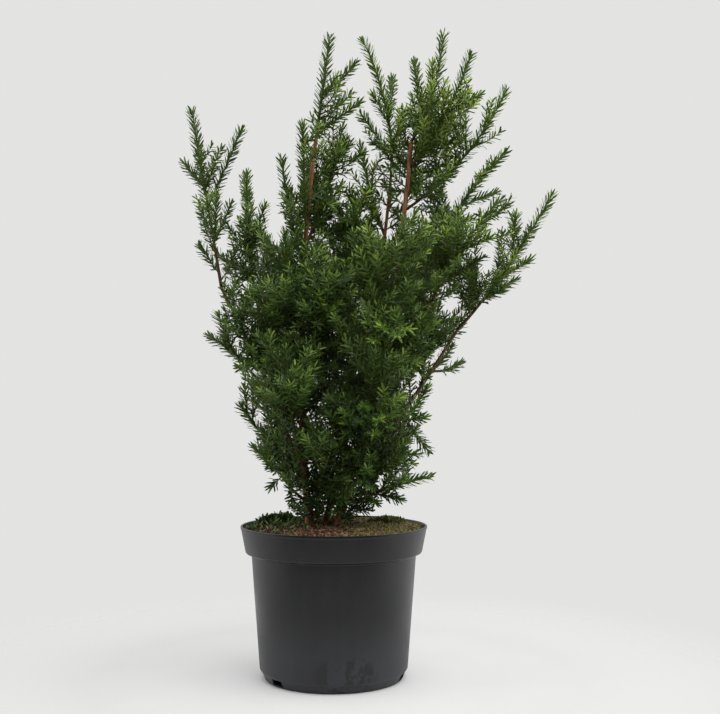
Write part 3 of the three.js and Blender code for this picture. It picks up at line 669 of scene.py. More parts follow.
def needles_of(shoot, random):
    """One shoot's needles: where they start, point and face, how long they are and which way they bend."""
    curve = shoot.curve
    kind = KINDS[shoot.kind]
    leafy = curve.length - shoot.bare
    count = max(NEEDLES_LEAST, int(leafy / kind.step))
    place = shoot.bare + (np.arange(count) + random.random(count) * NEEDLE_PLACE_CHANGE) * leafy / count
    share = np.clip(place / curve.length, 0, 1)
    along = curve.along(share)
    side = unit(np.cross(along, UP) + curve.across * NEEDLE_SIDE_NUDGE)
    lift = np.cross(side, along)
    turn = np.arange(count) * GOLDEN_ANGLE + random.random(count) * NEEDLE_TURN_CHANGE
    ranked = smooth(*NEEDLE_RANK_LEANS, 1 - np.abs(along[:, 2])) * NEEDLE_RANKED
    out_side = np.cos(turn)
    out_side = np.sign(out_side) * np.maximum(np.abs(out_side), ranked * NEEDLE_RANK_OUT)
    out_lift = np.sin(turn) * (1 - ranked) + NEEDLE_RANK_LIFT * ranked
    out = unit(side * out_side[:, None] + lift * out_lift[:, None])
    along_shoot = (place - shoot.bare) / leafy
    at_tip = smooth(0, 1, (place - curve.length + NEEDLE_TIP_REACH) / NEEDLE_TIP_REACH)
    angle = mix(mix(*kind.angles, along_shoot), random.uniform(*NEEDLE_TIP_ANGLES, count), at_tip)
    angle = np.radians(angle + random.normal(0, NEEDLE_ANGLE_CHANGE, count))[:, None]
    way = unit(out * np.sin(angle) + along * np.cos(angle))
    to_tip = unit(along - way * (along * way).sum(axis=1, keepdims=True))
    to_sky = unit(UP - way * way[:, 2:3])
    face = unit(mix(to_tip, to_sky, ranked[:, None]))
    roll = random.normal(0, NEEDLE_ROLL, count)[:, None]
    face = unit(face * np.cos(roll) + np.cross(way, face) * np.sin(roll))
    length = kind.needle * mix(NEEDLE_FOOT_SIZE, 1, smooth(0, NEEDLE_FOOT_SHARE, along_shoot))
    length = length * mix(1, NEEDLE_TIP_SIZE, at_tip) * varied(random, NEEDLE_LENGTH_CHANGE, count)
    return Needles(curve.at(share), way, face, length, to_tip, along_shoot, at_tip)


def needle_points(base, way, face, length, width, bend, ridge=NEEDLE_RIDGE):
    """Eight points for each needle: its base, a left, ridge and right point at two stations, its tip."""
    side = np.cross(way, face)
    length = length[:, None]
    width = width[:, None]
    ridge = np.broadcast_to(ridge, len(base))[:, None]
    points = [base]
    for station, breadth in NEEDLE_STATIONS:
        centre = base + way * length * station + bend * length * NEEDLE_CURVE * station ** 2
        points.append(centre - side * width * breadth)
        points.append(centre + face * ridge)
        points.append(centre + side * width * breadth)
    points.append(base + way * length + bend * length * NEEDLE_CURVE)
    return np.stack(points, axis=1)


def blades_object(name, points, slots, materials):
    """One piece of many needles, chips or blades, with a material slot number for each triangle."""
    starts = np.arange(len(points))[:, None, None] * points.shape[1]
    triangles = (NEEDLE_TRIANGLES[None] + starts).reshape(-1, 3)
    return mesh_object(name, points.reshape(-1, 3), triangles, slots, materials, False)


# Materials


def connect(tree, node, inputs):
    """Sets a node's inputs to values, or links them to sockets."""
    for key, value in inputs.items():
        if isinstance(value, bpy.types.NodeSocket):
            tree.links.new(value, node.inputs[key])
        else:
            node.inputs[key].default_value = value


def add(tree, kind, inputs=None, **settings):
    """A new node with its settings and its inputs."""
    node = tree.nodes.new(kind)
    for key, value in settings.items():
        setattr(node, key, value)
    connect(tree, node, inputs or {})
    return node


def maths(tree, operation, *values):
    """The result of an operation on numbers or sockets."""
    return add(tree, "ShaderNodeMath", dict(enumerate(values)), operation=operation).outputs[0]


def vector_maths(tree, operation, *values):
    """The result of an operation on vectors: a vector, or a number for their length."""
    node = add(tree, "ShaderNodeVectorMath", dict(enumerate(values)), operation=operation)
    return node.outputs["Value" if operation == "LENGTH" else "Vector"]


def blended(tree, share, low, high):
    """A colour between two others."""
    return add(tree, "ShaderNodeMix", {"Factor": share, 6: low, 7: high}, data_type="RGBA").outputs[2]


def object_place(tree):
    """The place on the object, in metres."""
    return add(tree, "ShaderNodeTexCoord").outputs["Object"]


def noise_in(tree, scale, stretch=(1, 1, 1), detail=3, roughness=0.5):
    """A noise in the object's own frame, scale features to the metre, stretched along the axes."""
    mapped = add(tree, "ShaderNodeMapping", {"Vector": object_place(tree), "Scale": stretch})
    texture = add(tree, "ShaderNodeTexNoise", {
        "Vector": mapped.outputs["Vector"], "Scale": scale, "Detail": detail, "Roughness": roughness,
    })
    return texture.outputs["Fac"]


def ramp(tree, value, stops):
    """Colours at places from 0 to 1 along a value."""
    node = add(tree, "ShaderNodeValToRGB", {"Fac": value})
    elements = node.color_ramp.elements
    while len(elements) < len(stops):
        elements.new(0.5)
    for element, (place, colour) in zip(elements, stops):
        element.position = place
        element.color = (*colour, 1)
    return node.outputs["Color"]


def spread(tree, value, low, high, start=0.3, end=0.7, kind="LINEAR"):
    """A value spread over the range from low to high as it goes from start to end."""
    return add(tree, "ShaderNodeMapRange", {
        "Value": value, "From Min": start, "From Max": end, "To Min": low, "To Max": high,
    }, interpolation_type=kind).outputs["Result"]


def soft_step(tree, value, start, end):
    """0 before the start, 1 past the end and smooth between, whichever is the greater."""
    return spread(tree, value, 0.0, 1.0, start, end, "SMOOTHSTEP")


def relief(tree, height, distance, strength):
    """A bump from a height, with its depth in metres."""
    return add(tree, "ShaderNodeBump", {
        "Height": height, "Distance": distance, "Strength": strength,
    }).outputs["Normal"]


def new_material(name):
    """A new material, its node tree and its shader."""
    material = bpy.data.materials.new(name)
    material.use_nodes = True
    tree = material.node_tree
    return material, tree, tree.nodes["Principled BSDF"]


def needle_material(name, colour, roughness):
    """A waxy needle face: a plain colour whose gloss changes from spray to spray."""
    material, tree, shader = new_material(name)
    low, high = NEEDLE_ROUGHNESS_CHANGE
    connect(tree, shader, {
        "Base Color": (*colour, 1),
        "Roughness": spread(tree, noise_in(tree, scale=90, detail=2), roughness + low, roughness + high),
        "Specular IOR Level": 0.36,
    })
    return material


def bark_material(name, stops, scale, depth):
    """Thin flaky bark: long patches of colour along the limb, with a fine relief."""
    material, tree, shader = new_material(name)
    patches = noise_in(tree, scale=scale, stretch=(1, 1, 0.22), detail=5, roughness=0.62)
    fine = noise_in(tree, scale=scale * 3.5, stretch=(1, 1, 0.3), detail=4, roughness=0.6)
    connect(tree, shader, {
        "Base Color": ramp(tree, patches, stops),
        "Roughness": spread(tree, fine, 0.62, 0.92),
        "Specular IOR Level": 0.3,
        "Normal": relief(tree, fine, depth, 0.8),
    })
    return material


def twig_material(name, stops):
    """Smooth young bark with faint ridges."""
    material, tree, shader = new_material(name)
    patches = noise_in(tree, scale=160, stretch=(1, 1, 0.5), detail=3)
    connect(tree, shader, {
        "Base Color": ramp(tree, patches, stops),
        "Roughness": spread(tree, patches, 0.5, 0.75),
        "Specular IOR Level": 0.35,
    })
    return material


# The foliage. Colours are light that the surface gives back, from 0 to 1

FOLIAGE_SEED = 11
PIECE_TRIANGLES = 190000
# Top colours from darkest to lightest; the tints use them partly as lit and shaded copies: painted light high
# up and outside, painted shade deep in the crown
NEEDLE_TOPS = [
    (0.030, 0.066, 0.013),
    (0.060, 0.123, 0.020),
    (0.110, 0.200, 0.030),
    (0.195, 0.310, 0.036),
    (0.305, 0.430, 0.052),
]
NEEDLE_UNDER = (0.128, 0.203, 0.045)
NEEDLE_TOP_ROUGHNESS = 0.36
NEEDLE_UNDER_ROUGHNESS = 0.5
NEEDLE_ROUGHNESS_CHANGE = (-0.06, 0.08)
TWIG_OLDER = [(0.3, (0.075, 0.036, 0.020)), (0.7, (0.150, 0.078, 0.040))]
TWIG_YOUNG = [(0.3, (0.120, 0.140, 0.036)), (0.7, (0.210, 0.220, 0.060))]
TWIG_POINT = 0.4

# The tint as a place in the list of needle colours: by the spray's height, distance out and right side, as
# painted light high up, far out and on the right and painted shade inside the crown, then by the needle's
# place along the shoot
TINT_PLACE = 0.6
TINT_HEIGHTS = (330, 960)
TINT_LOW = 0.15
TINT_RISE = 2.75
TINT_OUT = 0.7
PAINTED_LIGHT_RIGHT = 0.7
TINT_CHANGE = 0.5
TINT_YOUNG = 0.6
TINT_YOUNG_START = 0.5
TINT_TIP = 0.5
TINT_NEEDLE_CHANGE = 0.25


def needle_tints(shoot, needles, random):
    """The tint of each needle, by spray: painted light high up, far out and on the right, painted shade
    inside the crown, and lightest at young tips.
    """
    middle = shoot.curve.at(TINT_PLACE)
    _, _, across, deep = crown_place(middle)
    outer = min(1.0, math.sqrt(across * across + deep * deep))
    height = float(np.clip((middle[2] - TINT_HEIGHTS[0]) / (TINT_HEIGHTS[1] - TINT_HEIGHTS[0]), 0, 1))
    # Painted light and shade: lighter with height, far out and to the right, darker inside the crown
    level = TINT_LOW + TINT_RISE * height + TINT_OUT * outer ** 2 + PAINTED_LIGHT_RIGHT * across * height
    level += random.normal(0, TINT_CHANGE)
    young = TINT_YOUNG * smooth(TINT_YOUNG_START, 1, needles.along_shoot)
    young = young + needles.at_tip * (TINT_TIP + TINT_TIP * outer)
    tint = level + young + random.normal(0, TINT_NEEDLE_CHANGE, len(needles.base))
    return np.clip(tint, 0, len(NEEDLE_TOPS) - 1).round().astype(int)


def twig(shoot):
    """The twig of a shoot: a slim tapering tube, brown at a mass's stem and green where it is young."""
    curve = shoot.curve
    kind = KINDS[shoot.kind]
    share = np.linspace(0, 1, kind.rings)
    radii = mix(*kind.radii, share)
    radii[-1] *= TWIG_POINT
    points, triangles = tube(curve.at(share), radii, curve.across, curve.third(share), kind.sides)
    if shoot.kind != "stem":
        return points, triangles, 1
    ring = np.minimum(triangles.min(axis=1) // kind.sides, kind.rings - 1)
    return points, triangles, (share[ring] > shoot.bare / curve.length).astype(int)


def foliage_groups(shoots):
    """The names, needles, tints and twigs of the masses, mass after mass in groups of a bounded size."""
    random = np.random.default_rng(FOLIAGE_SEED)
    groups = []
    for number, mass in enumerate(MASSES):
        own = [shoot for shoot in shoots if shoot.mass == number]
        grown = [needles_of(shoot, random) for shoot in own]
        size = sum(len(needles.base) for needles in grown) * len(NEEDLE_TRIANGLES)
        if not groups or groups[-1]["size"] + size > PIECE_TRIANGLES:
            groups.append({"size": 0, "masses": [], "needles": [], "tints": [], "twigs": []})
        group = groups[-1]
        group["size"] += size
        group["masses"].append(mass.name)
        for shoot, needles in zip(own, grown):
            width = NEEDLE_WIDTH * varied(random, NEEDLE_WIDTH_CHANGE, len(needles.base))
            group["needles"].append(needle_points(*needles[:4], width, needles.bend))
            group["tints"].append(needle_tints(shoot, needles, random))
            group["twigs"].append(twig(shoot))
    return groups


def make_foliage(shoots):
    """Every shoot's twig and needles, as pieces that stand for the masses."""
    faces = [
        needle_material(f"needle_{i}", colour, NEEDLE_TOP_ROUGHNESS) for i, colour in enumerate(NEEDLE_TOPS)
    ]
    faces.append(needle_material("needle_underside", NEEDLE_UNDER, NEEDLE_UNDER_ROUGHNESS))
    bark = [twig_material("twig_older", TWIG_OLDER), twig_material("twig_young", TWIG_YOUNG)]
    for number, group in enumerate(foliage_groups(shoots), 1):
        tints = np.concatenate(group["tints"])
        slots = np.where(NEEDLE_UNDERSIDE[None], len(NEEDLE_TOPS), tints[:, None]).ravel()
        needles = blades_object(f"needles_{number}", np.concatenate(group["needles"]), slots, faces)
        twigs = joined(f"twigs_{number}", group["twigs"], bark)
        for piece in (needles, twigs):
            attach(piece, "root")
            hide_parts(*sorted(group["masses"]))


# The bark of the limbs, with a relief in long plates

LIMB_SIDES = 14
LIMB_STEP = 4
LIMB_RINGS_LEAST = 6
COLLAR = 0.3
COLLAR_LENGTH = 7
STEM_SINK = 3
BARK_DEPTH = 0.32
BARK_ROUND = 2.2
BARK_ACROSS = 0.02
BARK_ALONG = 0.07
BARK_NOISE = (0.8, 2.1, 4)


def bark_relief(centre, angle):
    """The height of the bark's plates from -1 to 1, at an angle round a limb's centre."""
    return noise.fractal(Vector((
        math.cos(angle) * BARK_ROUND + centre[0] * BARK_ACROSS,
        math.sin(angle) * BARK_ROUND + centre[1] * BARK_ACROSS,
        centre[2] * BARK_ALONG,
    )), *BARK_NOISE)


def limb_mesh(limb):
    """A limb with its taper, the flare at a stem's foot or the collar at a bough's, and flaky relief."""
    curve = limb.curve
    first = 0.0
    swell, reach = COLLAR, COLLAR_LENGTH
    if limb.is_stem:
        first = (SOIL_MIDDLE_HEIGHT - STEM_SINK - curve.start[2]) / curve.length
        swell, reach = FLARE, FLARE_HEIGHT
    share = np.linspace(first, 1, max(LIMB_RINGS_LEAST, int(curve.length / LIMB_STEP)))
    radii = mix(*limb.radii, share) * (1 + swell * np.exp(-(share * curve.length) / reach))
    centres = curve.at(share)
    turn = round_angles(LIMB_SIDES)
    plates = np.array([[bark_relief(centre, angle) for angle in turn] for centre in centres])
    depth = BARK_DEPTH * (radii / limb.radii[0])[:, None]
    return (*tube(centres, radii[:, None] + depth * plates, curve.across, curve.third(share), LIMB_SIDES), 0)


def make_limbs(limbs):
    """The stems in flaky red-brown bark and the boughs in duller young bark."""
    old = bark_material("bark_old", [
        (0.30, (0.075, 0.031, 0.014)),
        (0.44, (0.225, 0.090, 0.034)),
        (0.57, (0.390, 0.175, 0.070)),
        (0.72, (0.500, 0.285, 0.150)),
    ], 130, 0.0006)
    young = bark_material("bark_young", [
        (0.30, (0.075, 0.045, 0.024)),
        (0.50, (0.180, 0.105, 0.052)),
        (0.72, (0.290, 0.195, 0.110)),
    ], 150, 0.0004)
    for name, is_stem, material, slot in (
        ("stems_bark", True, old, "bark"),
        ("boughs_bark", False, young, "bark_young"),
    ):
        names = [key for key, limb in limbs.items() if limb.is_stem == is_stem]
        piece = joined(name, [limb_mesh(limbs[key]) for key in names], [material])
        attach(piece, "root")
        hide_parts(*names)


# The pot

BAND_FOOT = POT_HEIGHT - BAND_HEIGHT
POT_SEGMENTS = 160
POT_SHARP_ANGLE = 42
FILLET_STEPS = 4
FILLET_MOST = 0.45
NOTCH_SEED = 5
NOTCH_STEPS = (9, 5)
NOTCH_RAGGED = (0.5, 0.6)

# Painted reflection of the pale floor that lightens the pot low down, and the place in metres, the scale and
# the edge of a ragged patch low in front where it is left out
PLASTIC = [(0.3, (0.0055, 0.0058, 0.0064)), (0.7, (0.0095, 0.0099, 0.0108))]
FLOOR_REFLECTION_HEIGHTS = (0.125, 0.030)
FLOOR_REFLECTION_COLOUR = (0.036, 0.037, 0.042, 1)
FLOOR_REFLECTION_ROUGHNESS = 0.22
REFLECTION_GAP_PLACE = (0.018, -0.108, 0.026)
REFLECTION_GAP_SCALE = (19.0, 8.0, 30.0)
REFLECTION_GAP_EDGE = (1.0, 0.7)
REFLECTION_GAP_RAGGED = (0.47, 0.52)
REFLECTION_GAP_STRENGTH = 0.75


def rounded(profile):
    """A profile of (radius, height, corner radius) rows as points, with every corner rounded off."""
    points = []
    for i, (r, z, fillet) in enumerate(profile):
        corner = np.array([r, z], float)
        if fillet == 0:
            points.append(corner)
            continue
        before = np.array(profile[i - 1][:2], float) - corner
        after = np.array(profile[i + 1][:2], float) - corner
        reach = min(fillet, FILLET_MOST * np.linalg.norm(before), FILLET_MOST * np.linalg.norm(after))
        start, end = corner + unit(before) * reach, corner + unit(after) * reach
        for t in np.arange(FILLET_STEPS + 1) / FILLET_STEPS:
            points.append((1 - t) ** 2 * start + 2 * (1 - t) * t * corner + t * t * end)
    return np.array(points)


def lathe(profile, segments):
    """The points and triangles of a profile turned round the Z axis. Its ends lie on the axis."""
    turn = round_angles(segments)
    radius, height = profile[1:-1, :1], profile[1:-1, 1:]
    rings = np.stack([
        radius * np.cos(turn),
        radius * np.sin(turn),
        np.repeat(height, segments, axis=1),
    ], axis=-1)
    points = np.concatenate([rings.reshape(-1, 3), [[0, 0, profile[0, 1]], [0, 0, profile[-1, 1]]]])
    return points, closed_triangles(len(height), segments)


def pot_material():
    """Dull dark plastic with faint streaks, and a painted reflection of the pale floor low down, left out in
    a ragged patch in front.
    """
    material, tree, shader = new_material("pot_plastic")
    streaks = noise_in(tree, scale=55, stretch=(1, 1, 0.05), detail=4, roughness=0.6)
    patches = noise_in(tree, scale=16, detail=4, roughness=0.6)
    place = object_place(tree)
    # Painted reflection: the pot's colour is lighter low down, as if the pale floor shone in it, except in a
    # ragged patch low in front, where it stays dark
    low = soft_step(tree, add(tree, "ShaderNodeSeparateXYZ", {"Vector": place}).outputs["Z"], *FLOOR_REFLECTION_HEIGHTS)
    film = maths(tree, "MULTIPLY", low, spread(tree, patches, 0.45, 1.0))
    from_reflection_gap = vector_maths(tree, "SUBTRACT", place, REFLECTION_GAP_PLACE)
    away = vector_maths(tree, "LENGTH", vector_maths(tree, "MULTIPLY", from_reflection_gap, REFLECTION_GAP_SCALE))
    gap_edge_noise = noise_in(tree, scale=75, stretch=(1, 1, 0.7), detail=5, roughness=0.65)
    reflection_gap = maths(tree, "MULTIPLY", soft_step(tree, away, *REFLECTION_GAP_EDGE), soft_step(tree, gap_edge_noise, *REFLECTION_GAP_RAGGED))
    left = maths(tree, "MULTIPLY_ADD", reflection_gap, -REFLECTION_GAP_STRENGTH, 1.0)
    painted_floor_reflection = maths(tree, "MULTIPLY", film, left)
    dull = spread(tree, patches, 0.27, 0.36)
    connect(tree, shader, {
        "Base Color": blended(tree, painted_floor_reflection, ramp(tree, streaks, PLASTIC), FLOOR_REFLECTION_COLOUR),
        "Roughness": maths(tree, "MULTIPLY_ADD", painted_floor_reflection, FLOOR_REFLECTION_ROUGHNESS, dull),
        "Specular IOR Level": 0.4,
        "Normal": relief(tree, noise_in(tree, scale=900, detail=2), 0.00003, 0.5),
    })
    return material


def notch_cutter(bearing, random):
    """The points and triangles of a block with ragged faces that cuts one drainage notch."""
    across = np.linspace(-NOTCH_WIDTH / 2, NOTCH_WIDTH / 2, NOTCH_STEPS[0])
    heights = np.linspace(POT_FLOOR, POT_FLOOR + NOTCH_HEIGHT, NOTCH_STEPS[1])
    outline = [(y, POT_FLOOR) for y in across]
    outline += [(across[-1], z) for z in heights[1:]]
    outline += [(y, heights[-1]) for y in across[::-1][1:]]
    outline += [(across[0], z) for z in heights[::-1][1:-1]]
    ragged = []
    for y, z in outline:
        y += random.normal(0, NOTCH_RAGGED[0])
        if z > POT_FLOOR:
            z += random.normal(0, NOTCH_RAGGED[1])
        ragged.append((y, z))
    points = []
    middle = FOOT_RADIUS + NOTCH_DEPTH / 4
    for x in (middle - NOTCH_DEPTH / 2, middle + NOTCH_DEPTH / 2):
        points += [(x, y, z) for y, z in ragged]
        points.append((x, 0, POT_FLOOR + NOTCH_HEIGHT / 2))
    triangles = []
    count = len(ragged)
    for i in range(count):
        j = (i + 1) % count
        near, far = (i, j), (i + count + 1, j + count + 1)
        triangles += [(near[0], near[1], far[1]), (near[0], far[1], far[0])]
        triangles += [(count, near[1], near[0]), (2 * count + 1, far[0], far[1])]
    x, y, z = np.array(points, float).T
    cos, sin = math.cos(math.radians(bearing)), math.sin(math.radians(bearing))
    return np.column_stack([x * cos - y * sin, x * sin + y * cos, z]), triangles


def make_pot():
    """The pot, turned from its profile, with the notches cut out of its foot."""
    points, triangles = lathe(rounded([
        (0, 0, 0),
        (FOOT_RADIUS, 0, 1.5),
        (BODY_FOOT_RADIUS - 3, BODY_FOOT_HEIGHT, 1.5),
        (BODY_FOOT_RADIUS, BODY_FOOT_HEIGHT + 3, 2),
        (BODY_TOP_RADIUS, BAND_FOOT - 3, 1.2),
        (BAND_FOOT_RADIUS, BAND_FOOT, 2),
        (RIM_RADIUS - 1, POT_HEIGHT - 5, 1.5),
        (RIM_RADIUS, POT_HEIGHT - RIM_LIP, 0.8),
        (RIM_RADIUS, POT_HEIGHT, 1.0),
        (RIM_RADIUS - RIM_LIP, POT_HEIGHT, 0.8),
        (BAND_FOOT_RADIUS - POT_WALL, BAND_FOOT + 2, 1.5),
        (BODY_TOP_RADIUS - POT_WALL, BAND_FOOT - 1, 1.5),
        (BODY_FOOT_RADIUS - POT_WALL, BODY_FOOT_HEIGHT + 4, 1.5),
        (BODY_FOOT_RADIUS - POT_WALL - 4, BODY_FOOT_HEIGHT, 1.5),
        (FOOT_RADIUS - 1, POT_FLOOR, 1.5),
        (0, POT_FLOOR, 0),
    ]), POT_SEGMENTS)
    whole = mesh_object("pot_uncut", points, triangles, 0, [], True)
    random = np.random.default_rng(NOTCH_SEED)
    cutters = []
    for number, bearing in enumerate(NOTCH_BEARINGS):
        cutter = mesh_object(f"cutter_{number}", *notch_cutter(bearing, random), 0, [], False)
        cut = whole.modifiers.new("notch", "BOOLEAN")
        cut.operation = "DIFFERENCE"
        cut.solver = "EXACT"
        cut.object = cutter
        cutters.append(cutter)
    bpy.context.view_layer.update()
    mesh = bpy.data.meshes.new_from_object(whole.evaluated_get(bpy.context.evaluated_depsgraph_get()))
    for helper in (*cutters, whole):
        bpy.data.objects.remove(helper)
    mesh.materials.clear()
    mesh.materials.append(pot_material())
    mesh.shade_smooth()
    mesh.set_sharp_from_angle(angle=math.radians(POT_SHARP_ANGLE))
    shell = linked(bpy.data.objects.new("pot_shell", mesh))
    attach(shell, "root")
    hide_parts("pot")


# The soil. It stays clear of the pot's wall, and its edge is cut off square under its rounded top

SOIL_FOOT = 26
SOIL_RINGS = 60
SOIL_RING_CROWDING = 0.85
SOIL_SEGMENTS = 170
SOIL_EDGE_RISE = 5
SOIL_CLEAR = POT_WALL + 0.9
SOIL_SHOULDER = SOIL_EDGE_HEIGHT - 3
SOIL_EDGE = mix(BAND_FOOT_RADIUS, RIM_RADIUS, (SOIL_SHOULDER - BAND_FOOT) / BAND_HEIGHT) - SOIL_CLEAR
SOIL_NOISE = (0.9, 2.1, 5)
SOIL_ROUGH = {"scale": 0.055, "plane": 0.3, "height": 1.4}
SOIL_CRUMBS = {"scale": 0.3, "plane": 4.0, "height": 0.9}
SOIL_MOSSY_RISE = 3.2


def soil_relief(x, y):
    """The soil's height with its crumbs, at a place."""
    scale = SOIL_ROUGH["scale"]
    rough = noise.fractal(Vector((x * scale, y * scale, SOIL_ROUGH["plane"])), *SOIL_NOISE)
    scale = SOIL_CRUMBS["scale"]
    crumbs = noise.noise(Vector((x * scale, y * scale, SOIL_CRUMBS["plane"])))
    out = (x * x + y * y) / BODY_TOP_RADIUS ** 2
    level = mix(SOIL_MIDDLE_HEIGHT, SOIL_EDGE_HEIGHT + SOIL_EDGE_RISE, out)
    return level + SOIL_ROUGH["height"] * rough + SOIL_CRUMBS["height"] * crumbs


def soil_material():
    """Dark potting soil with reddish litter, straw-coloured specks and a thin green film on the right."""
    material, tree, shader = new_material("soil_crumbs")
    crumbs = noise_in(tree, scale=330, detail=6, roughness=0.7)
    patches = noise_in(tree, scale=42, detail=4, roughness=0.6)
    film = noise_in(tree, scale=70, detail=5, roughness=0.7)
    across = add(tree, "ShaderNodeSeparateXYZ", {"Vector": object_place(tree)}).outputs["X"]
    bare = ramp(tree, crumbs, [
        (0.32, (0.018, 0.011, 0.008)),
        (0.47, (0.060, 0.032, 0.020)),
        (0.58, (0.140, 0.075, 0.042)),
        (0.72, (0.330, 0.235, 0.150)),
    ])
    red = ramp(tree, crumbs, [
        (0.32, (0.035, 0.014, 0.010)),
        (0.52, (0.150, 0.060, 0.036)),
        (0.72, (0.340, 0.190, 0.120)),
    ])
    green = ramp(tree, crumbs, [
        (0.34, (0.040, 0.042, 0.012)),
        (0.52, (0.120, 0.120, 0.030)),
        (0.70, (0.270, 0.240, 0.085)),
    ])
    reddish = spread(tree, patches, 0.0, 1.0, 0.42, 0.58)
    mossy = spread(tree, maths(tree, "MULTIPLY_ADD", across, SOIL_MOSSY_RISE, film), 0.0, 1.0, 0.6, 0.72)
    connect(tree, shader, {
        "Base Color": blended(tree, mossy, blended(tree, reddish, bare, red), green),
        "Roughness": spread(tree, crumbs, 0.82, 0.98),
        "Specular IOR Level": 0.25,
        "Normal": relief(tree, crumbs, 0.0012, 0.9),
    })
    return material


def make_soil():
    """The soil, turned from its profile, with crumbs over its top."""
    sides = [
        (0, SOIL_FOOT),
        (FOOT_RADIUS - SOIL_CLEAR, SOIL_FOOT),
        (BODY_FOOT_RADIUS - SOIL_CLEAR - 4, SOIL_FOOT + 4),
        (BODY_TOP_RADIUS - SOIL_CLEAR, BAND_FOOT - 1),
        (BAND_FOOT_RADIUS - SOIL_CLEAR, BAND_FOOT + 3),
        (SOIL_EDGE, SOIL_SHOULDER),
    ]
    top = [(SOIL_EDGE * share, 0.0) for share in np.linspace(1, 0, SOIL_RINGS + 1) ** SOIL_RING_CROWDING]
    points, triangles = lathe(np.array(sides + top, float), SOIL_SEGMENTS)
    first = (len(sides) - 1) * SOIL_SEGMENTS
    for point in (*points[first:-2], points[-1]):
        point[2] = soil_relief(point[0], point[1])
    piece = mesh_object("soil_top", points, triangles, 0, [soil_material()], True)
    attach(piece, "root")
    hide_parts("soil")


# Small bits on the soil: their number, how far they keep inside its edge, the middle and spread of their
# tilt, their lengths, widths and ridges, and how far they are raised

GROUND_SEED = 21
Bits = namedtuple("Bits", "count inset tilts lengths widths ridges raised")
LITTER = Bits(1100, 6, (0.06, 0.16), (5, 16), (1.4, 2.6), (0.4, 0.7), 0.6)
CRUMBS = Bits(1500, 3, (0.0, 0.3), (3, 7), (2.4, 4.6), (1.2, 2.4), 0.3)
COVER = Bits(4200, 2, (0.9, 0.35), (2.5, 6), (0.9, 1.8), (0.3, 0.6), 0.0)
LEAFLETS = Bits(230, 2, (0.75, 0.3), (5, 9.5), (2.6, 4.4), (0.3, 0.6), 2.5)
FACE_CHANGE = 0.35
STANDING_TILT = 0.5
LITTER_NEAR = 0.65
LITTER_MIDDLE = (2, -62)
LITTER_SPREAD = (52, 42)
LITTER_COLOURS = [
    (0.060, 0.030, 0.018), (0.230, 0.088, 0.050), (0.400, 0.260, 0.150), (0.110, 0.060, 0.032),
]
LITTER_SHARES = (0.24, 0.42, 0.16, 0.18)
CRUMB_COLOURS = [
    (0.030, 0.018, 0.012), (0.110, 0.052, 0.028), (0.290, 0.225, 0.105), (0.170, 0.150, 0.045),
    (0.250, 0.110, 0.065),
]
CRUMB_BROWN_SHARES = (0.24, 0.2, 0.16, 0.2, 0.2)
CRUMB_OLIVE_SHARES = (0.08, 0.08, 0.34, 0.42, 0.08)
CRUMB_OLIVE_FROM = 28
COVER_BARE_MIDDLE = -12
COVER_BARE_REACHES = (20, 62)
COVER_COLOURS = [
    (0.020, 0.036, 0.010), (0.055, 0.075, 0.018), (0.075, 0.045, 0.020),
    (0.170, 0.175, 0.036), (0.330, 0.310, 0.090), (0.220, 0.210, 0.050),
    (0.085, 0.150, 0.032), (0.140, 0.230, 0.045),
]
COVER_LEFT, COVER_RIGHT, COVER_LEAVES = 0, 3, 6
LEAFLET_MIDDLE = (-92, 10)
LEAFLET_SPREAD = (26, 48)
PATCH_LIGHTS = (0.7, 1.25)


def tinted(prefix, colours):
    """A material with fine patches of darker and lighter for each colour."""
    dark, light = PATCH_LIGHTS
    return [twig_material(f"{prefix}_{i}", [
        (0.3, tuple(c * dark for c in colour)), (0.7, tuple(c * light for c in colour)),
    ]) for i, colour in enumerate(colours)]


def anywhere(bits, random):
    """Spots for bits all over the soil and past its edge."""
    return random.uniform(-SOIL_EDGE, SOIL_EDGE, (bits.count, 2))


def within(spots, bits):
    """The spots that are far enough inside the soil's edge for bits."""
    return spots[np.hypot(spots[:, 0], spots[:, 1]) < SOIL_EDGE - bits.inset]


def lying(spots, bits, random):
    """Bits that lie on the soil every way round, as points: thin chips, crumbs or small leaves."""
    count = len(spots)
    turn = random.uniform(0, 2 * math.pi, count)
    tilt = random.normal(*bits.tilts, count)
    way = np.stack([np.cos(turn) * np.cos(tilt), np.sin(turn) * np.cos(tilt), np.sin(tilt)], axis=1)
    face = UP + random.normal(0, FACE_CHANGE, (count, 3))
    face = unit(face - way * (face * way).sum(axis=1, keepdims=True))
    length = random.uniform(*bits.lengths, count)
    width = random.uniform(*bits.widths, count)
    height = np.array([soil_relief(x, y) for x, y in spots]) + bits.raised
    half = way * length[:, None] * np.cos(tilt)[:, None] / 2
    base = np.column_stack([spots, height]) - half * (tilt < STANDING_TILT)[:, None]
    bend = np.cross(way, face) * random.normal(0, 1, (count, 1))
    return needle_points(base, way, face, length, width, bend, random.uniform(*bits.ridges, count))


def scatter(name, points, kinds, materials):
    """One piece of many small bits, each in the material of its kind."""
    piece = blades_object(name, points, np.repeat(kinds, len(NEEDLE_TRIANGLES)), materials)
    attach(piece, "root")


def make_litter(random):
    """Bits of bark, straw and dropped needles that lie on the soil, thickest round the stems' feet."""
    near = random.random(LITTER.count) < LITTER_NEAR
    round_stems = random.normal(LITTER_MIDDLE, LITTER_SPREAD, (LITTER.count, 2))
    spots = np.where(near[:, None], round_stems, anywhere(LITTER, random))
    litter = lying(within(spots, LITTER), LITTER, random)
    kinds = random.choice(len(LITTER_SHARES), len(litter), p=LITTER_SHARES)
    scatter("soil_litter", litter, kinds, tinted("litter", LITTER_COLOURS))


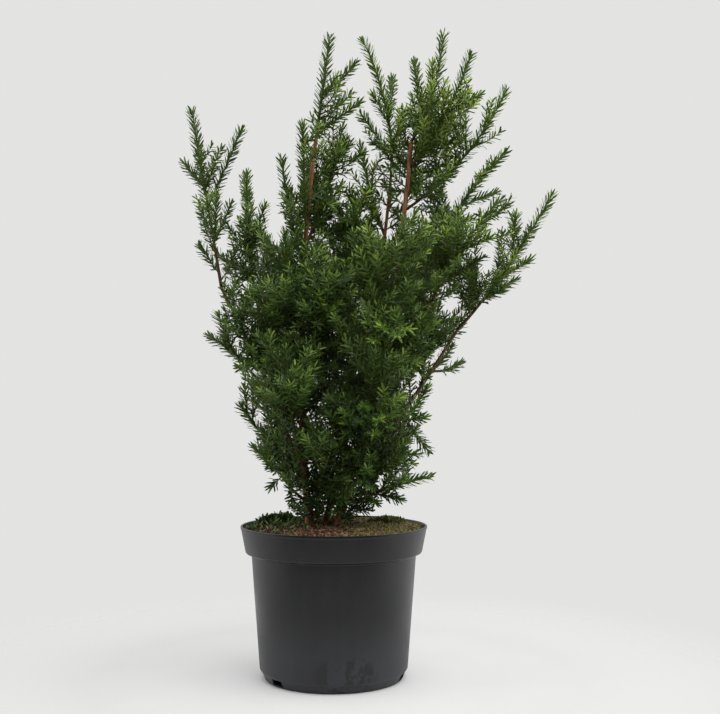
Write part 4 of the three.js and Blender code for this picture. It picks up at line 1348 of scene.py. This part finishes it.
def make_crumbs(random):
    """Crumbs of soil, brown on the left and olive on the right."""
    spots = within(anywhere(CRUMBS, random), CRUMBS)
    crumbs = lying(spots, CRUMBS, random)
    brown = random.choice(len(CRUMB_COLOURS), len(crumbs), p=CRUMB_BROWN_SHARES)
    olive = random.choice(len(CRUMB_COLOURS), len(crumbs), p=CRUMB_OLIVE_SHARES)
    kinds = np.where(spots[:, 0] > CRUMB_OLIVE_FROM, olive, brown)
    scatter("soil_crumbs", crumbs, kinds, tinted("crumb", CRUMB_COLOURS))


def make_cover(random):
    """A low growth of moss, dark green on the left and yellow-green on the right, and small leaves."""
    greens = tinted("cover", COVER_COLOURS)
    spots = anywhere(COVER, random)
    from_bare = np.abs(spots[:, 0] - COVER_BARE_MIDDLE)
    spots = within(spots[from_bare > random.uniform(*COVER_BARE_REACHES, len(spots))], COVER)
    cover = lying(spots, COVER, random)
    kinds = np.where(spots[:, 0] < 0, COVER_LEFT, COVER_RIGHT) + random.integers(0, 3, len(spots))
    scatter("soil_moss", cover, kinds, greens)
    spots = within(random.normal(LEAFLET_MIDDLE, LEAFLET_SPREAD, (LEAFLETS.count, 2)), LEAFLETS)
    leaves = lying(spots, LEAFLETS, random)
    kinds = random.integers(COVER_LEAVES, len(greens), len(leaves))
    scatter("soil_leaflets", leaves, kinds, greens)


# The moss cushions: a low uneven body under thousands of short spikes, and a few longer green blades

MOSS_RINGS = 22
MOSS_SEGMENTS = 60
MOSS_SINK = 1.5
TUFT_SCALE = 0.22
TUFT_PLANE = 7.0
TUFT_HEIGHTS = (0.4, 0.09)
SPIKES = 1500
SPIKE_TRIES = 3 * SPIKES
SPIKE_BULGE = 0.5
SPIKE_SINK = 0.4
SPIKE_UP = 1.1
SPIKE_OUT = 0.9
SPIKE_CHANGE = 0.42
SPIKE_LENGTHS = (2.2, 4.6)
SPIKE_WIDTHS = (0.9, 1.6)
BLADE_WIDTHS = (2.2, 3.8)

TUFT_STOPS = (0.32, 0.52, 0.70)
MOSS_LOOKS = {
    "moss_left": {
        "seed": 31, "blades": 70, "blade_lengths": (5, 10), "blade_colour": (0.120, 0.220, 0.045),
        "tufts": [(0.008, 0.018, 0.005), (0.030, 0.070, 0.014), (0.080, 0.150, 0.030)],
        "spikes": [(0.018, 0.040, 0.010), (0.045, 0.085, 0.018), (0.060, 0.045, 0.020)],
    },
    "moss_right": {
        "seed": 32, "blades": 40, "blade_lengths": (4, 8), "blade_colour": (0.180, 0.210, 0.050),
        "tufts": [(0.045, 0.042, 0.012), (0.130, 0.130, 0.030), (0.260, 0.240, 0.080)],
        "spikes": [(0.070, 0.070, 0.016), (0.150, 0.150, 0.035), (0.240, 0.220, 0.070)],
    },
}


def soil_height(radius):
    """The height of the part's soil at a distance from the pot's middle."""
    return mix(SOIL_MIDDLE_HEIGHT, SOIL_EDGE_HEIGHT, (radius / BODY_TOP_RADIUS) ** 2)


def cushion_bulge(x, y, cushion):
    """How far a moss cushion's clumps stand over the soil at places, and none between them."""
    size = cushion["size"]
    best = np.zeros(len(x))
    for i in range(cushion["clumps"]):
        away = CLUMP_SPREAD * math.sqrt((i + CLUMP_FIRST) / cushion["clumps"])
        u = x - cushion["middle"][0] - math.cos(i * GOLDEN_ANGLE) * size[0] * away
        v = y - cushion["middle"][1] - math.sin(i * GOLDEN_ANGLE) * size[1] * away
        inside = 1 - (u / (size[0] * CLUMP_SIZE[0])) ** 2 - (v / (size[1] * CLUMP_SIZE[1])) ** 2
        best = np.maximum(best, size[2] * (1 - CLUMP_DROP * away) * np.sqrt(np.clip(inside, 0, 1)))
    return best


def moss_top(x, y, cushion):
    """The height of the moss at places, with its small uneven tufts."""
    bulge = cushion_bulge(x, y, cushion)
    ground = np.array([soil_relief(a, b) for a, b in zip(x, y)])
    places = [Vector((a * TUFT_SCALE, b * TUFT_SCALE, TUFT_PLANE)) for a, b in zip(x, y)]
    tufts = np.array([noise.noise(place) for place in places])
    return ground + bulge + tufts * (TUFT_HEIGHTS[0] + TUFT_HEIGHTS[1] * bulge)


def moss_material(name, stops):
    """Dull moss in fine uneven tufts, with its darkest colour first."""
    material, tree, shader = new_material(name)
    tufts = noise_in(tree, scale=420, detail=5, roughness=0.7)
    connect(tree, shader, {
        "Base Color": ramp(tree, tufts, stops),
        "Roughness": spread(tree, tufts, 0.78, 0.95),
        "Specular IOR Level": 0.25,
        "Normal": relief(tree, tufts, 0.0012, 0.9),
    })
    return material


def moss_body(cushion, look):
    """The body of a cushion. Its edge and the hollows between its clumps sink into the soil."""
    middle = np.array(cushion["middle"], float)
    size = cushion["size"]
    ring, side = np.meshgrid(np.arange(MOSS_RINGS), np.arange(MOSS_SEGMENTS), indexing="ij")
    ring, side = ring.ravel(), side.ravel()
    share = 1 - ring / MOSS_RINGS
    turn = side * 2 * math.pi / MOSS_SEGMENTS
    x = middle[0] + np.cos(turn) * share * size[0]
    y = middle[1] + np.sin(turn) * share * size[1]
    z = moss_top(x, y, cushion)
    sunk = (cushion_bulge(x, y, cushion) <= 0) | (ring == 0)
    rings = np.column_stack([x, y, np.where(sunk, z - MOSS_SINK, z)])
    under = rings[:MOSS_SEGMENTS] - (0, 0, MOSS_SINK)
    foot = soil_height(np.hypot(*middle)) - 2 * MOSS_SINK
    peak = moss_top(middle[:1], middle[1:], cushion)[0]
    points = np.concatenate([under, rings, [[*middle, foot], [*middle, peak]]])
    triangles = closed_triangles(MOSS_RINGS + 1, MOSS_SEGMENTS)
    material = moss_material(f"{cushion['name']}_tufts", list(zip(TUFT_STOPS, look["tufts"])))
    return mesh_object(f"{cushion['name']}_body", points, triangles, 0, [material], True)


def moss_spikes(cushion, look):
    """The spikes and blades of a cushion, which lean outwards."""
    random = np.random.default_rng(look["seed"])
    middle = np.array(cushion["middle"], float)
    size = cushion["size"]
    spots = random.uniform(-1, 1, (SPIKE_TRIES, 2)) * size[:2] + middle
    spots = spots[cushion_bulge(spots[:, 0], spots[:, 1], cushion) > SPIKE_BULGE][:SPIKES]
    count = len(spots)
    is_blade = np.arange(count) < look["blades"]
    foot = np.column_stack([spots, moss_top(spots[:, 0], spots[:, 1], cushion) - SPIKE_SINK])
    out = np.column_stack([(spots - middle) / size[0], np.zeros(count)])
    way = unit(UP * SPIKE_UP + out * SPIKE_OUT + random.normal(0, SPIKE_CHANGE, (count, 3)))
    face = unit(np.cross(way, random.normal(0, 1, (count, 3))))
    blade_length = random.uniform(*look["blade_lengths"], count)
    length = np.where(is_blade, blade_length, random.uniform(*SPIKE_LENGTHS, count))
    blade_width = random.uniform(*BLADE_WIDTHS, count)
    width = np.where(is_blade, blade_width, random.uniform(*SPIKE_WIDTHS, count))
    points = needle_points(foot, way, face, length, width, np.cross(face, way))
    blade_kind = len(look["spikes"])
    kinds = np.where(is_blade, blade_kind, random.integers(0, blade_kind, count))
    materials = tinted(f"{cushion['name']}_spike", [*look["spikes"], look["blade_colour"]])
    slots = np.repeat(kinds, len(NEEDLE_TRIANGLES))
    return blades_object(f"{cushion['name']}_spikes", points, slots, materials)


def make_moss(cushion):
    """One moss cushion, as its body and its spikes."""
    look = MOSS_LOOKS[cushion["name"]]
    for piece in (moss_body(cushion, look), moss_spikes(cushion, look)):
        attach(piece, "root")
        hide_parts(cushion["name"])


# The studio: the light's strength by direction, the lamp over the plant, the floor and the camera. The lamp's
# places and the floor's fade are in metres

BASE_LIGHT = 0.5
SIDE_LIGHT = 0.6
TOP_LIGHT = 0.65
FRONT_DROP = 0.8
RIGHT_SHIFT = 0.18
FRONT_WAYS = (-0.22, -0.5)
FRONT_HEIGHTS = (0.65, 0.3)
BACKGROUND = (0.77, 0.77, 0.76, 1)
LAMP_SIZE = (2.2, 2.2)
LAMP_PLACE = (0.6, -0.6, 2.3)
LAMP_AIM = (0, 0, 0.5)
LAMP_POWER = 25
FLOOR_RADIUS = 1500
FLOOR_SEGMENTS = 64
# The floor's colour near the pot and further out: pale paint, darker further out as painted shade where the
# light falls off
FLOOR_PAINT_AND_FALLOFF = [(0.17, (0.84, 0.84, 0.835)), (0.42, (0.69, 0.69, 0.685))]
FLOOR_MOTTLING = 0.1
FLOOR_FADE = (0.35, 0.8)
CAMERA_LENS = 54.5
CAMERA_SENSOR = 36
CAMERA_TILT = 2.22


def floor_material():
    """Plain pale paint, faintly mottled, with painted shade that darkens it a little away from the pot as
    though the light fell off there, and clear further out.
    """
    material, tree, shader = new_material("floor_paint")
    away = vector_maths(tree, "LENGTH", object_place(tree))
    # Painted shade: the colour darkens with distance from the pot, with faint mottling over it
    shade = maths(tree, "MULTIPLY_ADD", noise_in(tree, scale=6, detail=2), FLOOR_MOTTLING, away)
    connect(tree, shader, {
        "Base Color": ramp(tree, shade, FLOOR_PAINT_AND_FALLOFF),
        "Roughness": 0.75,
        "Specular IOR Level": 0.2,
    })
    fade = soft_step(tree, away, *FLOOR_FADE)
    clear = add(tree, "ShaderNodeBsdfTransparent").outputs["BSDF"]
    blend = add(tree, "ShaderNodeMixShader", {0: fade, 1: shader.outputs["BSDF"], 2: clear}).outputs["Shader"]
    tree.links.new(blend, tree.nodes["Material Output"].inputs["Surface"])
    return material


def make_floor():
    """A round floor that fades into the background."""
    around = np.arange(FLOOR_SEGMENTS)
    turn = round_angles(FLOOR_SEGMENTS)
    edge = np.column_stack([np.cos(turn), np.sin(turn), np.zeros(FLOOR_SEGMENTS)]) * FLOOR_RADIUS
    points = np.concatenate([edge, [[0, 0, 0]]])
    middle = np.full(FLOOR_SEGMENTS, FLOOR_SEGMENTS)
    triangles = np.stack([around, (around + 1) % FLOOR_SEGMENTS, middle], axis=1)
    mesh_object("floor", points, triangles, 0, [floor_material()], False)


def make_world():
    """Soft studio light by direction: bright above and at the sides, darker in front, and a plain pale
    background."""
    world = bpy.data.worlds.new("studio")
    bpy.context.scene.world = world
    world.use_nodes = True
    tree = world.node_tree
    tree.nodes.clear()
    way = add(tree, "ShaderNodeTexCoord").outputs["Generated"]
    xyz = add(tree, "ShaderNodeSeparateXYZ", {"Vector": way}).outputs
    side = maths(tree, "MULTIPLY", xyz["X"], maths(tree, "ADD", xyz["X"], RIGHT_SHIFT))
    above = maths(tree, "MAXIMUM", xyz["Z"], 0.0)
    light = maths(tree, "MULTIPLY_ADD", side, SIDE_LIGHT, BASE_LIGHT)
    light = maths(tree, "MULTIPLY_ADD", above, TOP_LIGHT, light)
    facing = soft_step(tree, xyz["Y"], *FRONT_WAYS)
    low = soft_step(tree, xyz["Z"], *FRONT_HEIGHTS)
    share = maths(tree, "MULTIPLY_ADD", maths(tree, "MULTIPLY", facing, low), -FRONT_DROP, 1.0)
    light = maths(tree, "MULTIPLY", light, share)
    lit = add(tree, "ShaderNodeBackground", {"Color": (1, 1, 1, 1), "Strength": light})
    seen = add(tree, "ShaderNodeBackground", {"Color": BACKGROUND, "Strength": 1.0})
    ray = add(tree, "ShaderNodeLightPath").outputs["Is Camera Ray"]
    both = add(tree, "ShaderNodeMixShader", {0: ray, 1: lit.outputs[0], 2: seen.outputs[0]}).outputs[0]
    add(tree, "ShaderNodeOutputWorld", {"Surface": both})


def make_lamp():
    """A soft lamp over the plant, a little in front and to the right."""
    data = bpy.data.lights.new("softbox", "AREA")
    data.shape = "RECTANGLE"
    data.size, data.size_y = LAMP_SIZE
    data.energy = LAMP_POWER
    lamp = linked(bpy.data.objects.new("softbox", data))
    lamp.location = LAMP_PLACE
    lamp.rotation_euler = (Vector(LAMP_PLACE) - Vector(LAMP_AIM)).to_track_quat("Z", "Y").to_euler()


def make_camera():
    """The camera at the photo's place, tilted a little upwards."""
    data = bpy.data.cameras.new("camera")
    data.lens = CAMERA_LENS
    data.sensor_width = CAMERA_SENSOR
    camera = linked(bpy.data.objects.new("camera", data))
    camera.location = EYE * MM
    camera.rotation_euler = (math.radians(90 + CAMERA_TILT), 0, 0)
    bpy.context.scene.camera = camera


make_pot()
make_soil()
ground = np.random.default_rng(GROUND_SEED)
make_litter(ground)
make_crumbs(ground)
make_cover(ground)
for cushion in MOSS:
    make_moss(cushion)
limbs = grow_limbs()
make_foliage(grow_masses(limbs))
make_limbs(limbs)
make_floor()
make_world()
make_lamp()
make_camera()
bpy.context.scene.view_settings.view_transform = "Standard"
